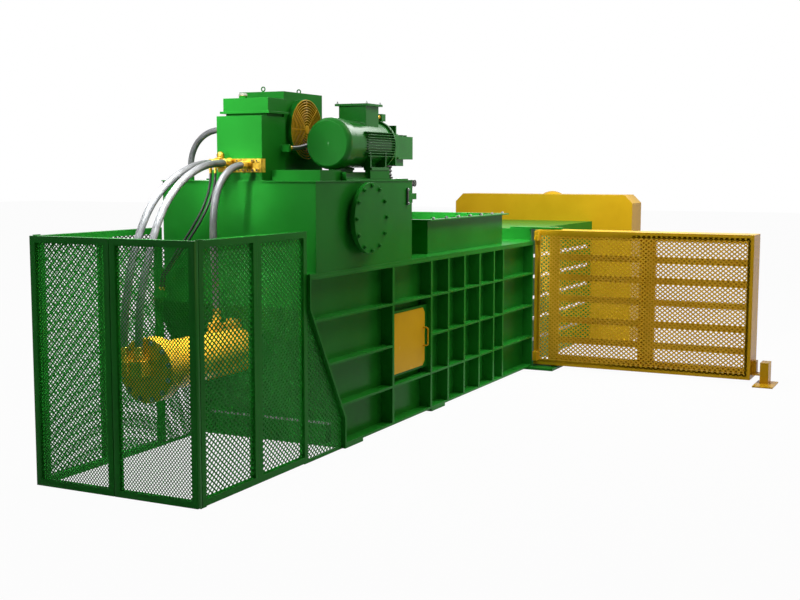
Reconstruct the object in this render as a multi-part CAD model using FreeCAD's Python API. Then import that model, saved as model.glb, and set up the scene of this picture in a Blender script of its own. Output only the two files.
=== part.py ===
"""Horizontal channel baler: ram, feed hopper, tying section, squeeze frame, power pack and guards.

Millimetres. +X runs along the machine towards the discharge, +Z is up. The origin is the middle of the
underside of the middle sleeper, on the machine's centre plane. "near" is the -Y side.
"""
import FreeCAD, Part
import math
import os

V = FreeCAD.Vector
X_AXIS = V(1, 0, 0)
Y_AXIS = V(0, 1, 0)
Z_AXIS = V(0, 0, 1)

# ---------------------------------------------------------------- driving dimensions
run_clear = 0.05          # radial clearance of a shaft or piston in its bore
seat_gap = 0.3            # gap of a sliding or hinged piece at its seat

# channel and body
channel_half = 597.0      # half width inside
wall_thick = 20.0
rib_depth = 114.0
rib_thick = 36.0          # upright ribs
shelf_thick = 20.0        # level ribs and the lattice's rim
shelf_heights = (370.0, 731.0, 1100.0)
floor_top = 205.0
floor_thick = 20.0
deck_top = 1471.0
deck_thick = 25.0
body_rear = -2405.0       # rear end of the side walls
body_end = 2630.0         # end of the ribbed side walls
slant_top = 1202.0        # height where the rear edge starts to slant
slant_low = 256.0         # height where the slant ends
slant_run = 553.0         # how far the slanted edge runs forward
door_rib = -970.0         # upright rib at the inspection door's hinge
grid_rib = -165.0         # first upright rib of the ribbed grid
grid_pitch = 396.0
grid_count = 5
last_rib = 1690.0

# sleepers
sleeper_thick = 28.0
sleeper_length = 310.0    # along X
beam_half = 500.0         # distance of the long beams from the centre plane
beam_width = 80.0
cross_width = 90.0        # cross members under the floor

# feed hopper
feed_start = 88.0
feed_length = 1962.0
hopper_inset = 49.0       # distance of the hopper's wall inside the body's wall
hopper_wall = 12.0
hopper_height = 329.0
hopper_flange = 58.0
hopper_flange_thick = 12.0
hopper_bolts = 7          # along each side

# tying section and squeeze frame
tying_wall = 40.0
tying_length = 2570.0
roof_start = 2795.0
roof_height = 129.0
roof_plate = 12.0
slot_height = 48.0
slot_pitch = 245.0
slot_low = 297.0          # height of the lowest slot's middle
slot_count = 5
slot_margin = (145.0, 70.0)   # from the section's two ends
guide_ahead = 63.0        # how far ahead of the slots the wire guides stand
guide_r = 26.0
guide_reach = 24.0
squeeze_length = 455.0
squeeze_near = 583.0      # reach of the squeeze frame beyond the channel on the near side
squeeze_far = 753.0
squeeze_top = 1955.0
squeeze_chamfer = 110.0
squeeze_plate = 25.0
tunnel_rise = 11.0        # how far the frame's tunnel is over the deck
platen_thick = 32.0
platen_travel = 120.0
tension_rod_r = 45.0
tension_bore_r = 70.0
tension_barrel_r = 90.0
dome_r = 136.0
dome_height = 42.0

# oil tank
tank_ahead = 110.0        # distance of the tank's rear wall from the body's rear end
tank_length = 1710.0
tank_inset = 9.0          # how far the tank's sides are inside the deck's edge
tank_height = 701.0
tank_wall = 8.0
top_overhang = 8.0        # of the tank's top plate, and its thickness
pad_thick = 12.0
manhole_ahead = 775.0     # from the tank's rear wall
manhole_rise = 402.0      # over the deck
manhole_neck_r = 240.0
manhole_neck_wall = 12.0
manhole_flange_r = 295.0
manhole_reach = 60.0
manhole_flange = 14.0
manhole_cover = 20.0
manhole_bolts = 12
gauge_back = 105.0        # distance of the level gauge from the tank's front wall
gauge_length = 148.0
gauge_drop = 72.0         # from the tank's top to the gauge's upper end
dial_r = 28.0
dial_pitch = 60.0
gauge_block_drop = 120.0  # of the gauges' block under the tank's top
gauge_block_high = 55.0

# power pack
base_height = 85.0        # of the base beams over the tank's top
motor_inset = 222.0       # distance of the motor's axis from the tank's near side
motor_rise = 217.0        # of its axis over the base beams
cowl_r = 212.0
cowl_ahead = 568.0        # from the tank's rear wall
cowl_length = 147.0
cowl_sheet = 4.0
cowl_round = 62.0         # radius of its rounding, which ends at a crisp edge
cowl_turn = 60.0          # degrees that the rounding turns through
cowl_dish = 10.0          # depth of the dished end
motor_length = 847.0
stator_r = 198.0
stator_bore = 95.0
end_wall = 90.0           # depth of the frame's closed ends round the shaft
shaft_r = 30.0
core_gap = 0.6            # air gap between rotor and stator
fin_count = 10
fin_pitch = 22.0
fin_thick = 6.0
fin_length = 497.0
foot_length = 318.0
foot_back = 296.0         # of the feet's middle behind the motor's front flange
rail_offset = 178.0       # of the motor rails' middles from the motor's axis
rail_width = 50.0
terminal_length = 229.0
terminal_half = 130.0
terminal_top = 321.0      # height of the terminal box's case over the motor's axis
terminal_lid = 19.0
lid_overhang = 26.0
bell_length = 180.0
bell_r = 172.0
pump_length = 100.0
pump_half = 95.0
pump_drop = 118.0         # of the pump's underside below the motor's axis
pump_rise = 110.0
stub_shaft_r = 20.0
block_length = 294.0
bellows_r = 66.0
elbow_rise = 250.0        # height of the pump's outlet elbow over the motor's axis
cabinet_ahead = 50.0      # from the tank's rear wall
cabinet_length = 350.0
cabinet_near = -207.0
cabinet_far = 217.0
cabinet_height = 425.0    # over the base beams
cabinet_foot = 140.0      # length of its part that reaches down to the tank's top
rear_beam = 335.0         # width of the cross beam
cap_height = 145.0        # of the cabinet's cap
breather_ahead = 245.0    # from the cabinet's rear face
cooler_ahead = 445.0      # from the tank's rear wall
cooler_length = 624.0
cooler_near = -168.0
cooler_far = 261.0
cooler_height = 637.0     # over the base beams
cooler_sheet = 14.0
cooler_core = 90.0        # depth of the core at the far side
shroud_margin = 62.0      # from the shroud's rim to the case's edges
shroud_off = (-27.0, 16.5)    # of its middle from the case's, along X and Z
shroud_reach = 45.0
shroud_sheet = 12.0
louvre_pitch = 60.0
fan_post = 70.0           # length of the fan motor on the core's frame
fan_back = 38.0           # of the fan's face behind the case's near side
guard_rings = 6
guard_wire = 8.0
eye_r = 17.0

# main cylinder and ram
axis_z = 835.0
barrel_r = 182.0
bore_r = 150.0
cap_back = 1075.0         # distance of the cylinder's rear cap behind the body's rear end
cap_thick = 80.0
cap_r = 235.0
cap_bolts = 12
head_thick = 60.0
head_step = 18.0          # the front head's radius over the barrel's
head_back = 930.0         # from the ram's face to the cylinder's front head
rod_r = 75.0
piston_length = 120.0
ram_face = 30.0
ram_length = 1500.0
ram_cover = 2140.0        # length of the plate that closes the feed opening during the stroke
ram_plate = 20.0
ram_side_gap = 10.0
ram_top_gap = 8.0
thrust_back = 730.0       # of the thrust plate behind the ram's face

# cage
cage_length = 1445.0      # behind the body's rear end
cage_inset = 27.0         # of its sides inside the deck's edge
cage_height = 1800.0
cage_bar = 48.0
cage_gap = 4.0            # between door leaf and side
cage_split = 756.0        # of the seam between a side's two frames from the cage's rear
cage_floor_gap = 6.0
cage_pivot_r = 5.0
cage_pivot_inset = 8.0    # of the pivots from the leaf's outer and front faces
strand = 9.0              # width of the mesh strands as modelled
mesh_thick = 3.0
pilot_drop = 500.0        # of the pilot hoses' block under the cage's top

# inspection door
door_length = 672.0
door_z0 = 459.0
door_height = 541.0
door_inset = 36.0         # of the door's outer face inside the ribs' edges
door_thick = 10.0
door_frame = 45.0
door_corner = 45.0
door_hinge_r = 11.0
door_pin_r = 6.0
door_knuckle = 40.0
handle_bar = 14.0         # diameter
handle_reach = 48.0
handle_length = 170.0
handle_inset = 30.0       # from the door's free edge

# swing gate
gate_back = 40.0          # of the gate's mesh side ahead of the body's end
gate_depth = 370.0
gate_clear = 4.0          # from the deck's edge to the gate's hinge end
gate_length = 2440.0
gate_low = 45.0
gate_high = 1594.0
gate_bar = 62.0
gate_rim = 40.0
gate_sheet = 6.0
gate_post = 124.0
gate_bar_heights = (297.0, 539.0, 788.0, 1034.0, 1268.0)
gate_pin_r = 25.0
gate_boss_r = 45.0
pivot_ahead = 220.0       # of the gate's pivot from the body's end
pivot_out = 204.0         # of the pivot from the deck's edge
pivot_plate = 20.0
pivot_arm = (-45.0, 150.0)    # reach of the arm that holds the upper pivot, along X
pivot_arm_half = 260.0        # its reach on each side of the tying section's wall
pivot_eye_r = 70.0

# hoses
big_hose = 56.0
pilot_hose = 20.0
return_hose = 50.0
return_ahead = 145.0      # of the return hose from the cabinet's rear face
return_rise = 325.0       # over the base beams
return_reach = 366.0      # from the cabinet's far side
pressure_hose = 38.0
stub_length = 26.0        # pipe stubs of the return hose
stub_wall = 5.0
port_sleeve = 36.0        # length and radius of the sleeves on the cylinder's ports
sleeve_r = 36.0

# ---------------------------------------------------------------- sizes that follow
wall_half = channel_half + wall_thick
flange_half = wall_half + rib_depth
tying_half = channel_half + tying_wall
hopper_half = wall_half - hopper_inset
hopper_top = deck_top + hopper_height
deck_under = deck_top - deck_thick
floor_under = floor_top - floor_thick
slant_foot = body_rear + slant_run
feed_end = feed_start + feed_length
tying_end = body_end + tying_length
roof_top = deck_top + roof_height
slot_start = body_end + slot_margin[0]
slot_end = tying_end - slot_margin[1]
slot_heights = [slot_low + slot_pitch * i for i in range(slot_count)]
squeeze_end = tying_end + squeeze_length
squeeze_middle = tying_end + squeeze_length / 2
tunnel_top = deck_top + tunnel_rise

tank_rear = body_rear + tank_ahead
tank_front = tank_rear + tank_length
tank_half = flange_half - tank_inset
tank_top = deck_top + tank_height + top_overhang
pad_top = tank_top + pad_thick
manhole_x = tank_rear + manhole_ahead
manhole_z = deck_top + manhole_rise
level_x = tank_front - gauge_back

base_top = tank_top + base_height
motor_y = -tank_half + motor_inset
motor_z = base_top + motor_rise
cowl_rear = tank_rear + cowl_ahead
motor_rear = cowl_rear + cowl_length
motor_front = cowl_rear + motor_length
foot_x = motor_front - foot_back
bell_front = motor_front + bell_length
pump_front = bell_front + pump_length
pump_low = motor_z - pump_drop
pump_high = motor_z + pump_rise
cabinet_rear = tank_rear + cabinet_ahead
cabinet_front = cabinet_rear + cabinet_length
cabinet_step = cabinet_rear + cabinet_foot
cabinet_top = base_top + cabinet_height
cooler_rear = tank_rear + cooler_ahead
cooler_front = cooler_rear + cooler_length
cooler_top = base_top + cooler_height
shroud_r = min(cooler_length, cooler_height) / 2 - shroud_margin
fan_x = (cooler_rear + cooler_front) / 2 + shroud_off[0]
fan_z = (base_top + cooler_top) / 2 + shroud_off[1]

cap_rear = body_rear - cap_back
cap_front = cap_rear + cap_thick
head_front = ram_face - head_back
thrust_x = ram_face - thrust_back
crown = axis_z + barrel_r

cage_rear = body_rear - cage_length
cage_half = flange_half - cage_inset
side_x0 = cage_rear + cage_bar + cage_gap
seam_x = cage_rear + cage_split
cage_pivot = (cage_rear + cage_bar - cage_pivot_inset, -cage_half + cage_pivot_inset)

door_x0 = door_rib + rib_thick / 2 + 2 * door_hinge_r + 15
door_x1 = door_x0 + door_length
door_z1 = door_z0 + door_height
door_face = flange_half - door_inset
door_back = door_face - door_thick
door_hinge = (door_x0 - door_hinge_r - 3, -door_face - door_hinge_r - 1)
door_hinge_heights = (door_z0 + 70, door_z1 - 150)

gate_rear = body_end + gate_back
gate_front = gate_rear + gate_depth
gate_near = -flange_half - gate_clear
gate_tip = gate_near - gate_length
pivot_x = body_end + pivot_ahead
pivot_y = -flange_half - pivot_out
side_outline = [(body_rear, deck_under), (body_rear, slant_top), (slant_foot, slant_low),
                (slant_foot, sleeper_thick), (body_end, sleeper_thick), (body_end, deck_under)]


# ---------------------------------------------------------------- helpers
def box(x0, x1, y0, y1, z0, z1):
    return Part.makeBox(x1 - x0, y1 - y0, z1 - z0, V(x0, y0, z0))


def rod(x, y, z, radius, length, axis=X_AXIS):
    return Part.makeCylinder(radius, length, V(x, y, z), axis)


def pipe(x, y, z, radius, inner, length, axis=X_AXIS):
    return rod(x, y, z, radius, length, axis).cut(rod(x, y, z, inner, length, axis))


def face_of(points):
    return Part.Face(Part.makePolygon(points + [points[0]]))


def slab_xz(points, y0, y1):
    """Prism of an outline of (x, z) points between two Y planes."""
    return face_of([V(x, y0, z) for x, z in points]).extrude(V(0, y1 - y0, 0))


def slab_yz(points, x0, x1):
    return face_of([V(x0, y, z) for y, z in points]).extrude(V(x1 - x0, 0, 0))


def join(first, *others):
    return first.fuse(list(others)).removeSplitter()


def mirrored(shape):
    return shape.mirror(V(0, 0, 0), Y_AXIS)


def turned(profile, origin, axis):
    """Solid of revolution of a closed outline of points."""
    return face_of(profile).revolve(origin, axis, 360)


def rounded_rod(x, y, z, radius, length, axis, fillet):
    """Cylinder whose far edge is rounded."""
    solid = rod(x, y, z, radius, length, axis)
    end = V(x, y, z) + axis * length
    rim = [e for e in solid.Edges if e.Closed and (e.CenterOfMass - end).Length < 1e-3]
    return solid.makeFillet(fillet, rim)


def hex_bolt(x, y, z, size, axis):
    """Hexagon head of one bolt, standing on the point along the axis."""
    across = 0.9 * size
    head = 0.65 * size
    ring = [V(across * math.cos(math.radians(60 * i)), across * math.sin(math.radians(60 * i)), 0)
            for i in range(6)]
    solid = face_of(ring).extrude(V(0, 0, head))
    solid.Placement = FreeCAD.Placement(V(x, y, z), FreeCAD.Rotation(Z_AXIS, axis))
    return solid


def bolt_circle(x, y, z, radius, count, size, axis, across):
    """Bolts round a middle point; `across` is the direction of the circle's first radius."""
    up = axis.cross(across)
    bolts = []
    for i in range(count):
        a = 2 * math.pi * (i + 0.5) / count
        spot = V(x, y, z) + across * (radius * math.cos(a)) + up * (radius * math.sin(a))
        bolts.append(hex_bolt(spot.x, spot.y, spot.z, size, axis))
    return bolts


def diamond_mesh(u0, u1, v0, v1, columns, rows, width, place, outline=None):
    """One sheet of diamond mesh: `place(u, v, w)` maps sheet coordinates to the part."""
    pitch_u = (u1 - u0) / columns
    pitch_v = (v1 - v0) / rows
    gap_u = pitch_u / 2 - width * 0.7
    gap_v = pitch_v / 2 - width * 0.7
    border = outline or [(u0, v0), (u1, v0), (u1, v1), (u0, v1)]
    edge = Part.makePolygon([place(u, v, 0) for u, v in border + [border[0]]])
    wires = [edge]
    for row in range(2 * rows - 1):
        shift = 0.5 if row % 2 == 0 else 1.0
        count = columns if row % 2 == 0 else columns - 1
        for column in range(count):
            cu = u0 + (column + shift) * pitch_u
            cv = v0 + (row + 1) * pitch_v / 2
            corners = [(cu - gap_u, cv), (cu, cv - gap_v), (cu + gap_u, cv), (cu, cv + gap_v)]
            if outline and not all(inside(outline, u, v, width) for u, v in corners):
                continue
            wires.append(Part.makePolygon([place(u, v, 0) for u, v in corners + [corners[0]]]))
    sheet = Part.makeFace(wires, "Part::FaceMakerBullseye")
    return sheet.extrude(place(0, 0, mesh_thick) - place(0, 0, 0))


def inside(outline, u, v, margin):
    """Whether a point lies inside a convex anticlockwise outline by a margin."""
    for (au, av), (bu, bv) in zip(outline, outline[1:] + outline[:1]):
        length = math.hypot(bu - au, bv - av)
        if ((bu - au) * (v - av) - (bv - av) * (u - au)) / length < margin:
            return False
    return True


def swept_bar(points, diameter):
    """Round bar along straight runs joined by tangent arcs: (solid, spine, radii)."""
    pts = [V(*p) for p in points]
    last = pts[0]
    edges = []
    radii = []
    for before, here, after in zip(pts, pts[1:], pts[2:]):
        a = before - here
        b = after - here
        reach = 0.45 * min(a.Length, b.Length)
        turn = math.pi - a.getAngle(b)
        radius = reach / math.tan(turn / 2)
        radii.append(radius)
        a.normalize()
        b.normalize()
        start = here + a * reach
        end = here + b * reach
        bisector = a + b
        bisector.normalize()
        centre = here + bisector * (radius / math.cos(turn / 2))
        edges.append(Part.LineSegment(last, start).toShape())
        edges.append(Part.Arc(start, centre - bisector * radius, end).toShape())
        last = end
    edges.append(Part.LineSegment(last, pts[-1]).toShape())
    spine = Part.Wire(edges)
    ring = Part.Wire([Part.makeCircle(diameter / 2, pts[0], pts[1] - pts[0])])
    maker = Part.BRepOffsetAPI.MakePipeShell(spine)
    maker.add(ring)
    maker.build()
    maker.makeSolid()
    return maker.shape(), spine, radii


def draped(start, end, shares):
    """Control points between two fittings; a row says how much of the way in X, Y and Z is done."""
    between = [tuple(s + (e - s) * k for s, e, k in zip(start, end, row)) for row in shares]
    return [start] + between + [end]


def hose(name, points, diameter):
    """Hose as a swept round bar; prints its length, runs, radii and how its volume compares."""
    tube, spine, radii = swept_bar(points, diameter)
    runs = [round((V(*b) - V(*a)).Length) for a, b in zip(points, points[1:])]
    ratio = tube.Volume / (math.pi * diameter * diameter / 4 * spine.Length)
    print("%s: length %.0f, runs %s" % (name, spine.Length, runs))
    print("    radii %s, volume ratio %.4f" % ([round(r) for r in radii], ratio))
    return tube


# ---------------------------------------------------------------- body
def sleeper_frame():
    """Sleepers on the floor, with two long beams and cross members under the channel."""
    half = sleeper_length / 2
    margin = 20.0
    pivot_margin = 80.0
    solids = []
    for x in (slant_foot + half, 0.0, tying_end - sleeper_length):
        solids.append(box(x - half, x + half, -flange_half, flange_half, 0, sleeper_thick))
    gate_sleeper = box(body_end - cross_width - margin, pivot_x + 2 * gate_boss_r, pivot_y - pivot_margin,
                       flange_half, 0, sleeper_thick)
    pin_hole = rod(pivot_x, pivot_y, 0, gate_pin_r + run_clear, sleeper_thick, Z_AXIS)
    solids.append(gate_sleeper.cut(pin_hole))
    for y in (-beam_half, beam_half):
        solids.append(box(slant_foot, tying_end, y - beam_width / 2, y + beam_width / 2, sleeper_thick,
                          floor_under))
    for x in (slant_foot, grid_rib, body_end - cross_width, tying_end - 4 * cross_width):
        solids.append(box(x, x + cross_width, -beam_half, beam_half, sleeper_thick, floor_under))
    return join(*solids)


def side_wall():
    """Far side wall plate, which the near one mirrors."""
    return slab_xz(side_outline, channel_half, wall_half)


def side_ribs():
    """Lattice of ribs welded on the far side wall."""
    plate = face_of([V(x, wall_half, z) for x, z in side_outline])
    rim = plate.cut(plate.makeOffset2D(-shelf_thick)).extrude(V(0, rib_depth, 0))
    envelope = slab_xz(side_outline, wall_half, flange_half)
    pieces = []
    uprights = [door_rib] + [grid_rib + grid_pitch * i for i in range(grid_count)] + [last_rib]
    for x in uprights:
        pieces.append(box(x - rib_thick / 2, x + rib_thick / 2, wall_half, flange_half,
                          sleeper_thick, deck_under))
    for z in shelf_heights:
        pieces.append(box(body_rear, body_end, wall_half, flange_half, z - shelf_thick / 2,
                          z + shelf_thick / 2).common(envelope))
    return join(rim, *pieces)


def door_opening(y0, y1):
    return box(door_x0 + door_frame, door_x1 - door_frame, y0, y1, door_z0 + door_frame,
               door_z1 - door_frame)


def near_ribs():
    """Near lattice: the middle shelf gives way to the door's welded frame and hinge barrels."""
    border = 22.0
    room = 30.0
    x0 = door_rib + rib_thick / 2
    x1 = max(grid_rib - rib_thick / 2, door_x1 + border)
    ribs = mirrored(side_ribs())
    ribs = ribs.cut(box(x0, x1, -flange_half, -wall_half, door_z0 - room, door_z1 + room))
    face = -(door_back - seat_gap)
    frame = box(x0, x1, face, -wall_half, door_z0 - border, door_z1 + border)
    frame = frame.cut(door_opening(-flange_half, -channel_half))
    hx, hy = door_hinge
    tab_half = 5.0
    weld = 4.0
    barrels = []
    for z in door_hinge_heights:
        barrel = rod(hx, hy, z, door_hinge_r, door_knuckle, Z_AXIS)
        tab = box(hx - tab_half, hx + tab_half, hy, face + weld, z, z + door_knuckle)
        bore = rod(hx, hy, z, door_pin_r + run_clear, door_knuckle, Z_AXIS)
        barrels.append(join(barrel, tab).cut(bore))
    return join(ribs, frame, *barrels)


def near_wall():
    return mirrored(side_wall()).cut(door_opening(-wall_half, -channel_half))


def inspection_door():
    """Steel door leaf with cut corners, knuckles and a hinge pin at its rear edge."""
    c = door_corner
    outline = [(door_x0, door_z0), (door_x1 - c, door_z0), (door_x1, door_z0 + c),
               (door_x1, door_z1 - c), (door_x1 - c, door_z1), (door_x0, door_z1)]
    strap = 8.0
    strap_end = door_x0 + 30.0
    short = 4.0
    hx, hy = door_hinge
    pieces = [slab_xz(outline, -door_face, -door_back)]
    for z in door_hinge_heights:
        low = z + door_knuckle + seat_gap
        pieces.append(rod(hx, hy, low, door_hinge_r, door_knuckle - short, Z_AXIS))
        pieces.append(box(hx, strap_end, -door_face - strap, -door_face, low + short / 2,
                          low + door_knuckle - 1.5 * short))
        pieces.append(rod(hx, hy, z, door_pin_r, 1.5 * door_knuckle, Z_AXIS))
    return join(*pieces)


def door_handle():
    """Bent round bar near the door's free edge, with its two feet against the leaf."""
    x = door_x1 - handle_inset
    y = -door_face - handle_reach
    z0 = (door_z0 + door_z1) / 2 - handle_length / 2
    z1 = z0 + handle_length
    corners = [(x, -door_face, z0), (x, y, z0), (x, y, z1), (x, -door_face, z1)]
    return swept_bar(corners, handle_bar)[0]


def rear_bulkhead():
    """Bent plate that closes the body's rear, with the collar that carries the main cylinder."""
    t = deck_thick
    outline = [(body_rear, deck_under), (body_rear, slant_top), (slant_foot, slant_low),
               (slant_foot, floor_top), (slant_foot + t, floor_top), (slant_foot + t, slant_low),
               (body_rear + t, slant_top), (body_rear + t, deck_under)]
    plate = slab_xz(outline, -channel_half, channel_half)
    middle = body_rear + (slant_top - axis_z) * slant_run / (slant_top - slant_low)
    collar_length = 330.0
    collar_wall = 40.0
    pipe_gap = 3.0
    start = middle - 0.4 * collar_length
    collar = rod(start, 0, axis_z, barrel_r + collar_wall, collar_length)
    hole = rod(start - slant_run, 0, axis_z, barrel_r + run_clear, 2 * slant_run + collar_length)
    port = rod(body_rear - collar_wall, 0, pipe_z, pipe_r + pipe_gap, slant_run)
    clamp = clamp_box(clamp_gap)
    return join(plate, collar).cut(hole).cut(port).cut(clamp)


def top_deck():
    """Deck plate; its edges are the flanges over the side ribs."""
    wide = box(body_rear, body_end, -flange_half, flange_half, deck_under, deck_top)
    narrow = box(body_end, tying_end, -tying_half, tying_half, deck_under, deck_top)
    half = hopper_half - hopper_wall
    mouth = box(feed_start, feed_end, -half, half, deck_under, deck_top)
    return join(wide, narrow).cut(mouth)


def feed_hopper():
    """Feed frame with a turned-out bolted flange."""
    f = hopper_flange
    w = hopper_wall
    walls = box(feed_start, feed_end, -hopper_half, hopper_half, deck_top, hopper_top)
    ring = box(feed_start - f, feed_end + f, -hopper_half - f, hopper_half + f,
               hopper_top - hopper_flange_thick, hopper_top)
    mouth = box(feed_start + w, feed_end - w, -hopper_half + w, hopper_half - w, deck_top, hopper_top)
    return join(walls, ring).cut(mouth)


def tying_roof():
    """Raised roof over the tying section, with the arm that holds the gate's upper pivot."""
    p = roof_plate
    outer = box(roof_start, tying_end, -tying_half, tying_half, deck_top, roof_top)
    inner = box(roof_start + p, tying_end - p, -tying_half + p, tying_half - p, deck_top, roof_top - p)
    high = roof_top + pivot_plate
    side = -tying_half
    eye = rod(pivot_x, pivot_y, roof_top, pivot_eye_r, pivot_plate, Z_AXIS)
    neck = box(pivot_x - pivot_eye_r, pivot_x + pivot_eye_r, pivot_y, side - pivot_arm_half / 2, roof_top,
               high)
    arm = box(pivot_x + pivot_arm[0], pivot_x + pivot_arm[1], side - pivot_arm_half, side + pivot_arm_half,
              roof_top, high)
    hole = rod(pivot_x, pivot_y, roof_top, gate_pin_r + run_clear, pivot_plate, Z_AXIS)
    return join(outer.cut(inner), arm, neck, eye).cut(hole)


def tying_side():
    """Far side of the tying section: level beams with the slots for the wires between them."""
    plate = box(body_end, tying_end, channel_half, tying_half, sleeper_thick, deck_under)
    half = slot_height / 2
    slots = [box(slot_start, slot_end, channel_half, tying_half, z - half, z + half) for z in slot_heights]
    return plate.cut(slots)


def wire_guides():
    """Grooved guide rollers beside the wire slots of both sides."""
    x = slot_start - guide_ahead
    groove = guide_r / 2
    third = guide_reach / 3
    solids = []
    for side in (-1, 1):
        for z in slot_heights:
            y = side * tying_half
            profile = [(0, 0), (0, guide_r), (third / 2, guide_r), (third, groove), (2 * third, groove),
                       (2.5 * third, guide_r), (guide_reach, guide_r), (guide_reach, 0)]
            points = [V(x, y + side * out, z + radius) for out, radius in profile]
            solids.append(turned(points, V(x, y, z), Y_AXIS))
    return Part.makeCompound(solids)


def squeeze_outline(inset):
    """Outline of the squeeze frame in Y and Z, moved in by a distance."""
    c = squeeze_chamfer - inset * (2 - math.sqrt(2))
    y0 = -channel_half - squeeze_near + inset
    y1 = channel_half + squeeze_far - inset
    z1 = squeeze_top - inset
    return [(y0, inset), (y1, inset), (y1, z1 - c), (y1 - c, z1), (y0 + c, z1), (y0, z1 - c)]


def squeeze_frame():
    """Welded portal of two plates and a rim round the channel's outlet."""
    t = squeeze_plate
    shell = slab_yz(squeeze_outline(0), tying_end, squeeze_end)
    hollow = slab_yz(squeeze_outline(t), tying_end + t, squeeze_end - t)
    jacket = box(tying_end, squeeze_end, -(channel_half + t), channel_half + t, 0, tunnel_top + t)
    channel = box(tying_end, squeeze_end, -channel_half, channel_half, floor_under, tunnel_top)
    rod_hole = rod(squeeze_middle, 0, tunnel_top, tension_rod_r + run_clear, t, Z_AXIS)
    barrel_hole = rod(squeeze_middle, 0, squeeze_top - t, tension_barrel_r + run_clear, t, Z_AXIS)
    return join(shell.cut(hollow), jacket).cut(channel).cut(rod_hole).cut(barrel_hole)


def tension_cylinder():
    """Short cylinder in the portal's top beam; its domed head shows on top."""
    base = tunnel_top + squeeze_plate
    wall = tension_barrel_r - tension_bore_r
    barrel = rod(squeeze_middle, 0, base, tension_barrel_r, squeeze_top - base, Z_AXIS)
    bore = rod(squeeze_middle, 0, base, tension_bore_r, squeeze_top - base - 5 * wall, Z_AXIS)
    sphere_r = (dome_r ** 2 + dome_height ** 2) / (2 * dome_height)
    dome = Part.makeSphere(sphere_r, V(squeeze_middle, 0, squeeze_top + dome_height - sphere_r))
    dome = dome.common(rod(squeeze_middle, 0, squeeze_top, dome_r, 2 * dome_height, Z_AXIS))
    return join(barrel.cut(bore), dome)


def tension_platen():
    """Plate that presses on the bale from above, with its rod and piston."""
    margin = 20.0
    half = channel_half - 8.0
    piston = 60.0
    high = deck_under + platen_thick
    above = tunnel_top + squeeze_plate + platen_travel - high
    plate = box(tying_end + margin, squeeze_end - margin, -half, half, deck_under, high)
    stem = rod(squeeze_middle, 0, high, tension_rod_r, above + piston, Z_AXIS)
    head = rod(squeeze_middle, 0, high + above, tension_bore_r - run_clear, piston, Z_AXIS)
    return join(plate, stem, head)


# ---------------------------------------------------------------- tank
def tank_shell():
    w = tank_wall
    high = deck_top + tank_height
    outer = box(tank_rear, tank_front, -tank_half, tank_half, deck_top, high)
    inner = box(tank_rear + w, tank_front - w, -tank_half + w, tank_half - w, deck_top + w, high - w)
    mouth = rod(manhole_x, -tank_half, manhole_z, manhole_neck_r - manhole_neck_wall, w, Y_AXIS)
    return outer.cut(inner).cut(mouth)


def tank_top_plate():
    """Overhanging top plate with the raised pad under the motor and the cooler."""
    o = top_overhang
    margin = 20.0
    plate = box(tank_rear - o, tank_front + o, -tank_half - o, tank_half + o, tank_top - o, tank_top)
    pad = box(cabinet_step + rear_beam, tank_front - 2 * margin, -tank_half + margin, tank_half - 3 * margin,
              tank_top, pad_top)
    stub = rod(return_end[0], return_end[1], tank_top, return_hose / 2 + stub_wall, stub_length, Z_AXIS)
    return join(plate, pad, stub)


def manhole_neck():
    """Short neck with a flange, welded on the tank's near wall."""
    inner = manhole_neck_r - manhole_neck_wall
    neck = pipe(manhole_x, -tank_half, manhole_z, manhole_neck_r, inner, manhole_reach, -Y_AXIS)
    flange = pipe(manhole_x, -tank_half - manhole_reach + manhole_flange, manhole_z, manhole_flange_r,
                  inner, manhole_flange, -Y_AXIS)
    return join(neck, flange)


def manhole_plate():
    """Cover plate with a rounded rim."""
    return rounded_rod(manhole_x, -tank_half - manhole_reach, manhole_z, manhole_flange_r, manhole_cover,
                       -Y_AXIS, 4)


def level_gauge():
    """Sight glass in a frame between two bolted ends."""
    y = -tank_half
    z1 = tank_top - gauge_drop
    z0 = z1 - gauge_length
    half = 22.0
    depth = 24.0
    bolt = 18.0
    glass_half = 10.0
    glass_depth = 6.0
    end = 40.0
    body = box(level_x - half, level_x + half, y - depth, y, z0, z1)
    ends = [hex_bolt(level_x, y - depth, z, bolt, -Y_AXIS) for z in (z0 + end / 2, z1 - end / 2)]
    glass = box(level_x - glass_half, level_x + glass_half, y - depth - glass_depth, y - depth, z0 + end,
                z1 - end)
    return join(body, glass, *ends)


gauge_x = [tank_front + 0.9 * dial_pitch + dial_pitch * i for i in range(2)]
gauge_y = -tank_half + dial_pitch
gauge_block = (tank_top - gauge_block_drop - gauge_block_high, tank_top - gauge_block_drop)
stem_length = 50.0


def gauge_bracket():
    """Distribution block on the tank's front wall with two gauge stems."""
    z0, z1 = gauge_block
    half = dial_pitch / 2
    stem_r = 9.0
    tail_length = 30.0
    block = box(tank_front, gauge_x[-1] + 1.5 * half, gauge_y - half, gauge_y + half, z0, z1)
    stems = [rod(x, gauge_y, z1, stem_r, stem_length, Z_AXIS) for x in gauge_x]
    tails = [rod(x, gauge_y, z0 - tail_length, stem_r + 2, tail_length, Z_AXIS) for x in gauge_x]
    return join(block, *(stems + tails))


def pressure_gauges():
    """Two dial gauges that face the near side."""
    z = gauge_block[1] + stem_length
    socket_length = 20.0
    solids = []
    for x in gauge_x:
        socket = rod(x, gauge_y, z, 12, socket_length, Z_AXIS)
        case = rounded_rod(x, gauge_y + dial_r / 2, z + 2 * socket_length, dial_r, dial_r, -Y_AXIS, 3)
        solids.append(join(socket, case))
    return Part.makeCompound(solids)


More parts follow.
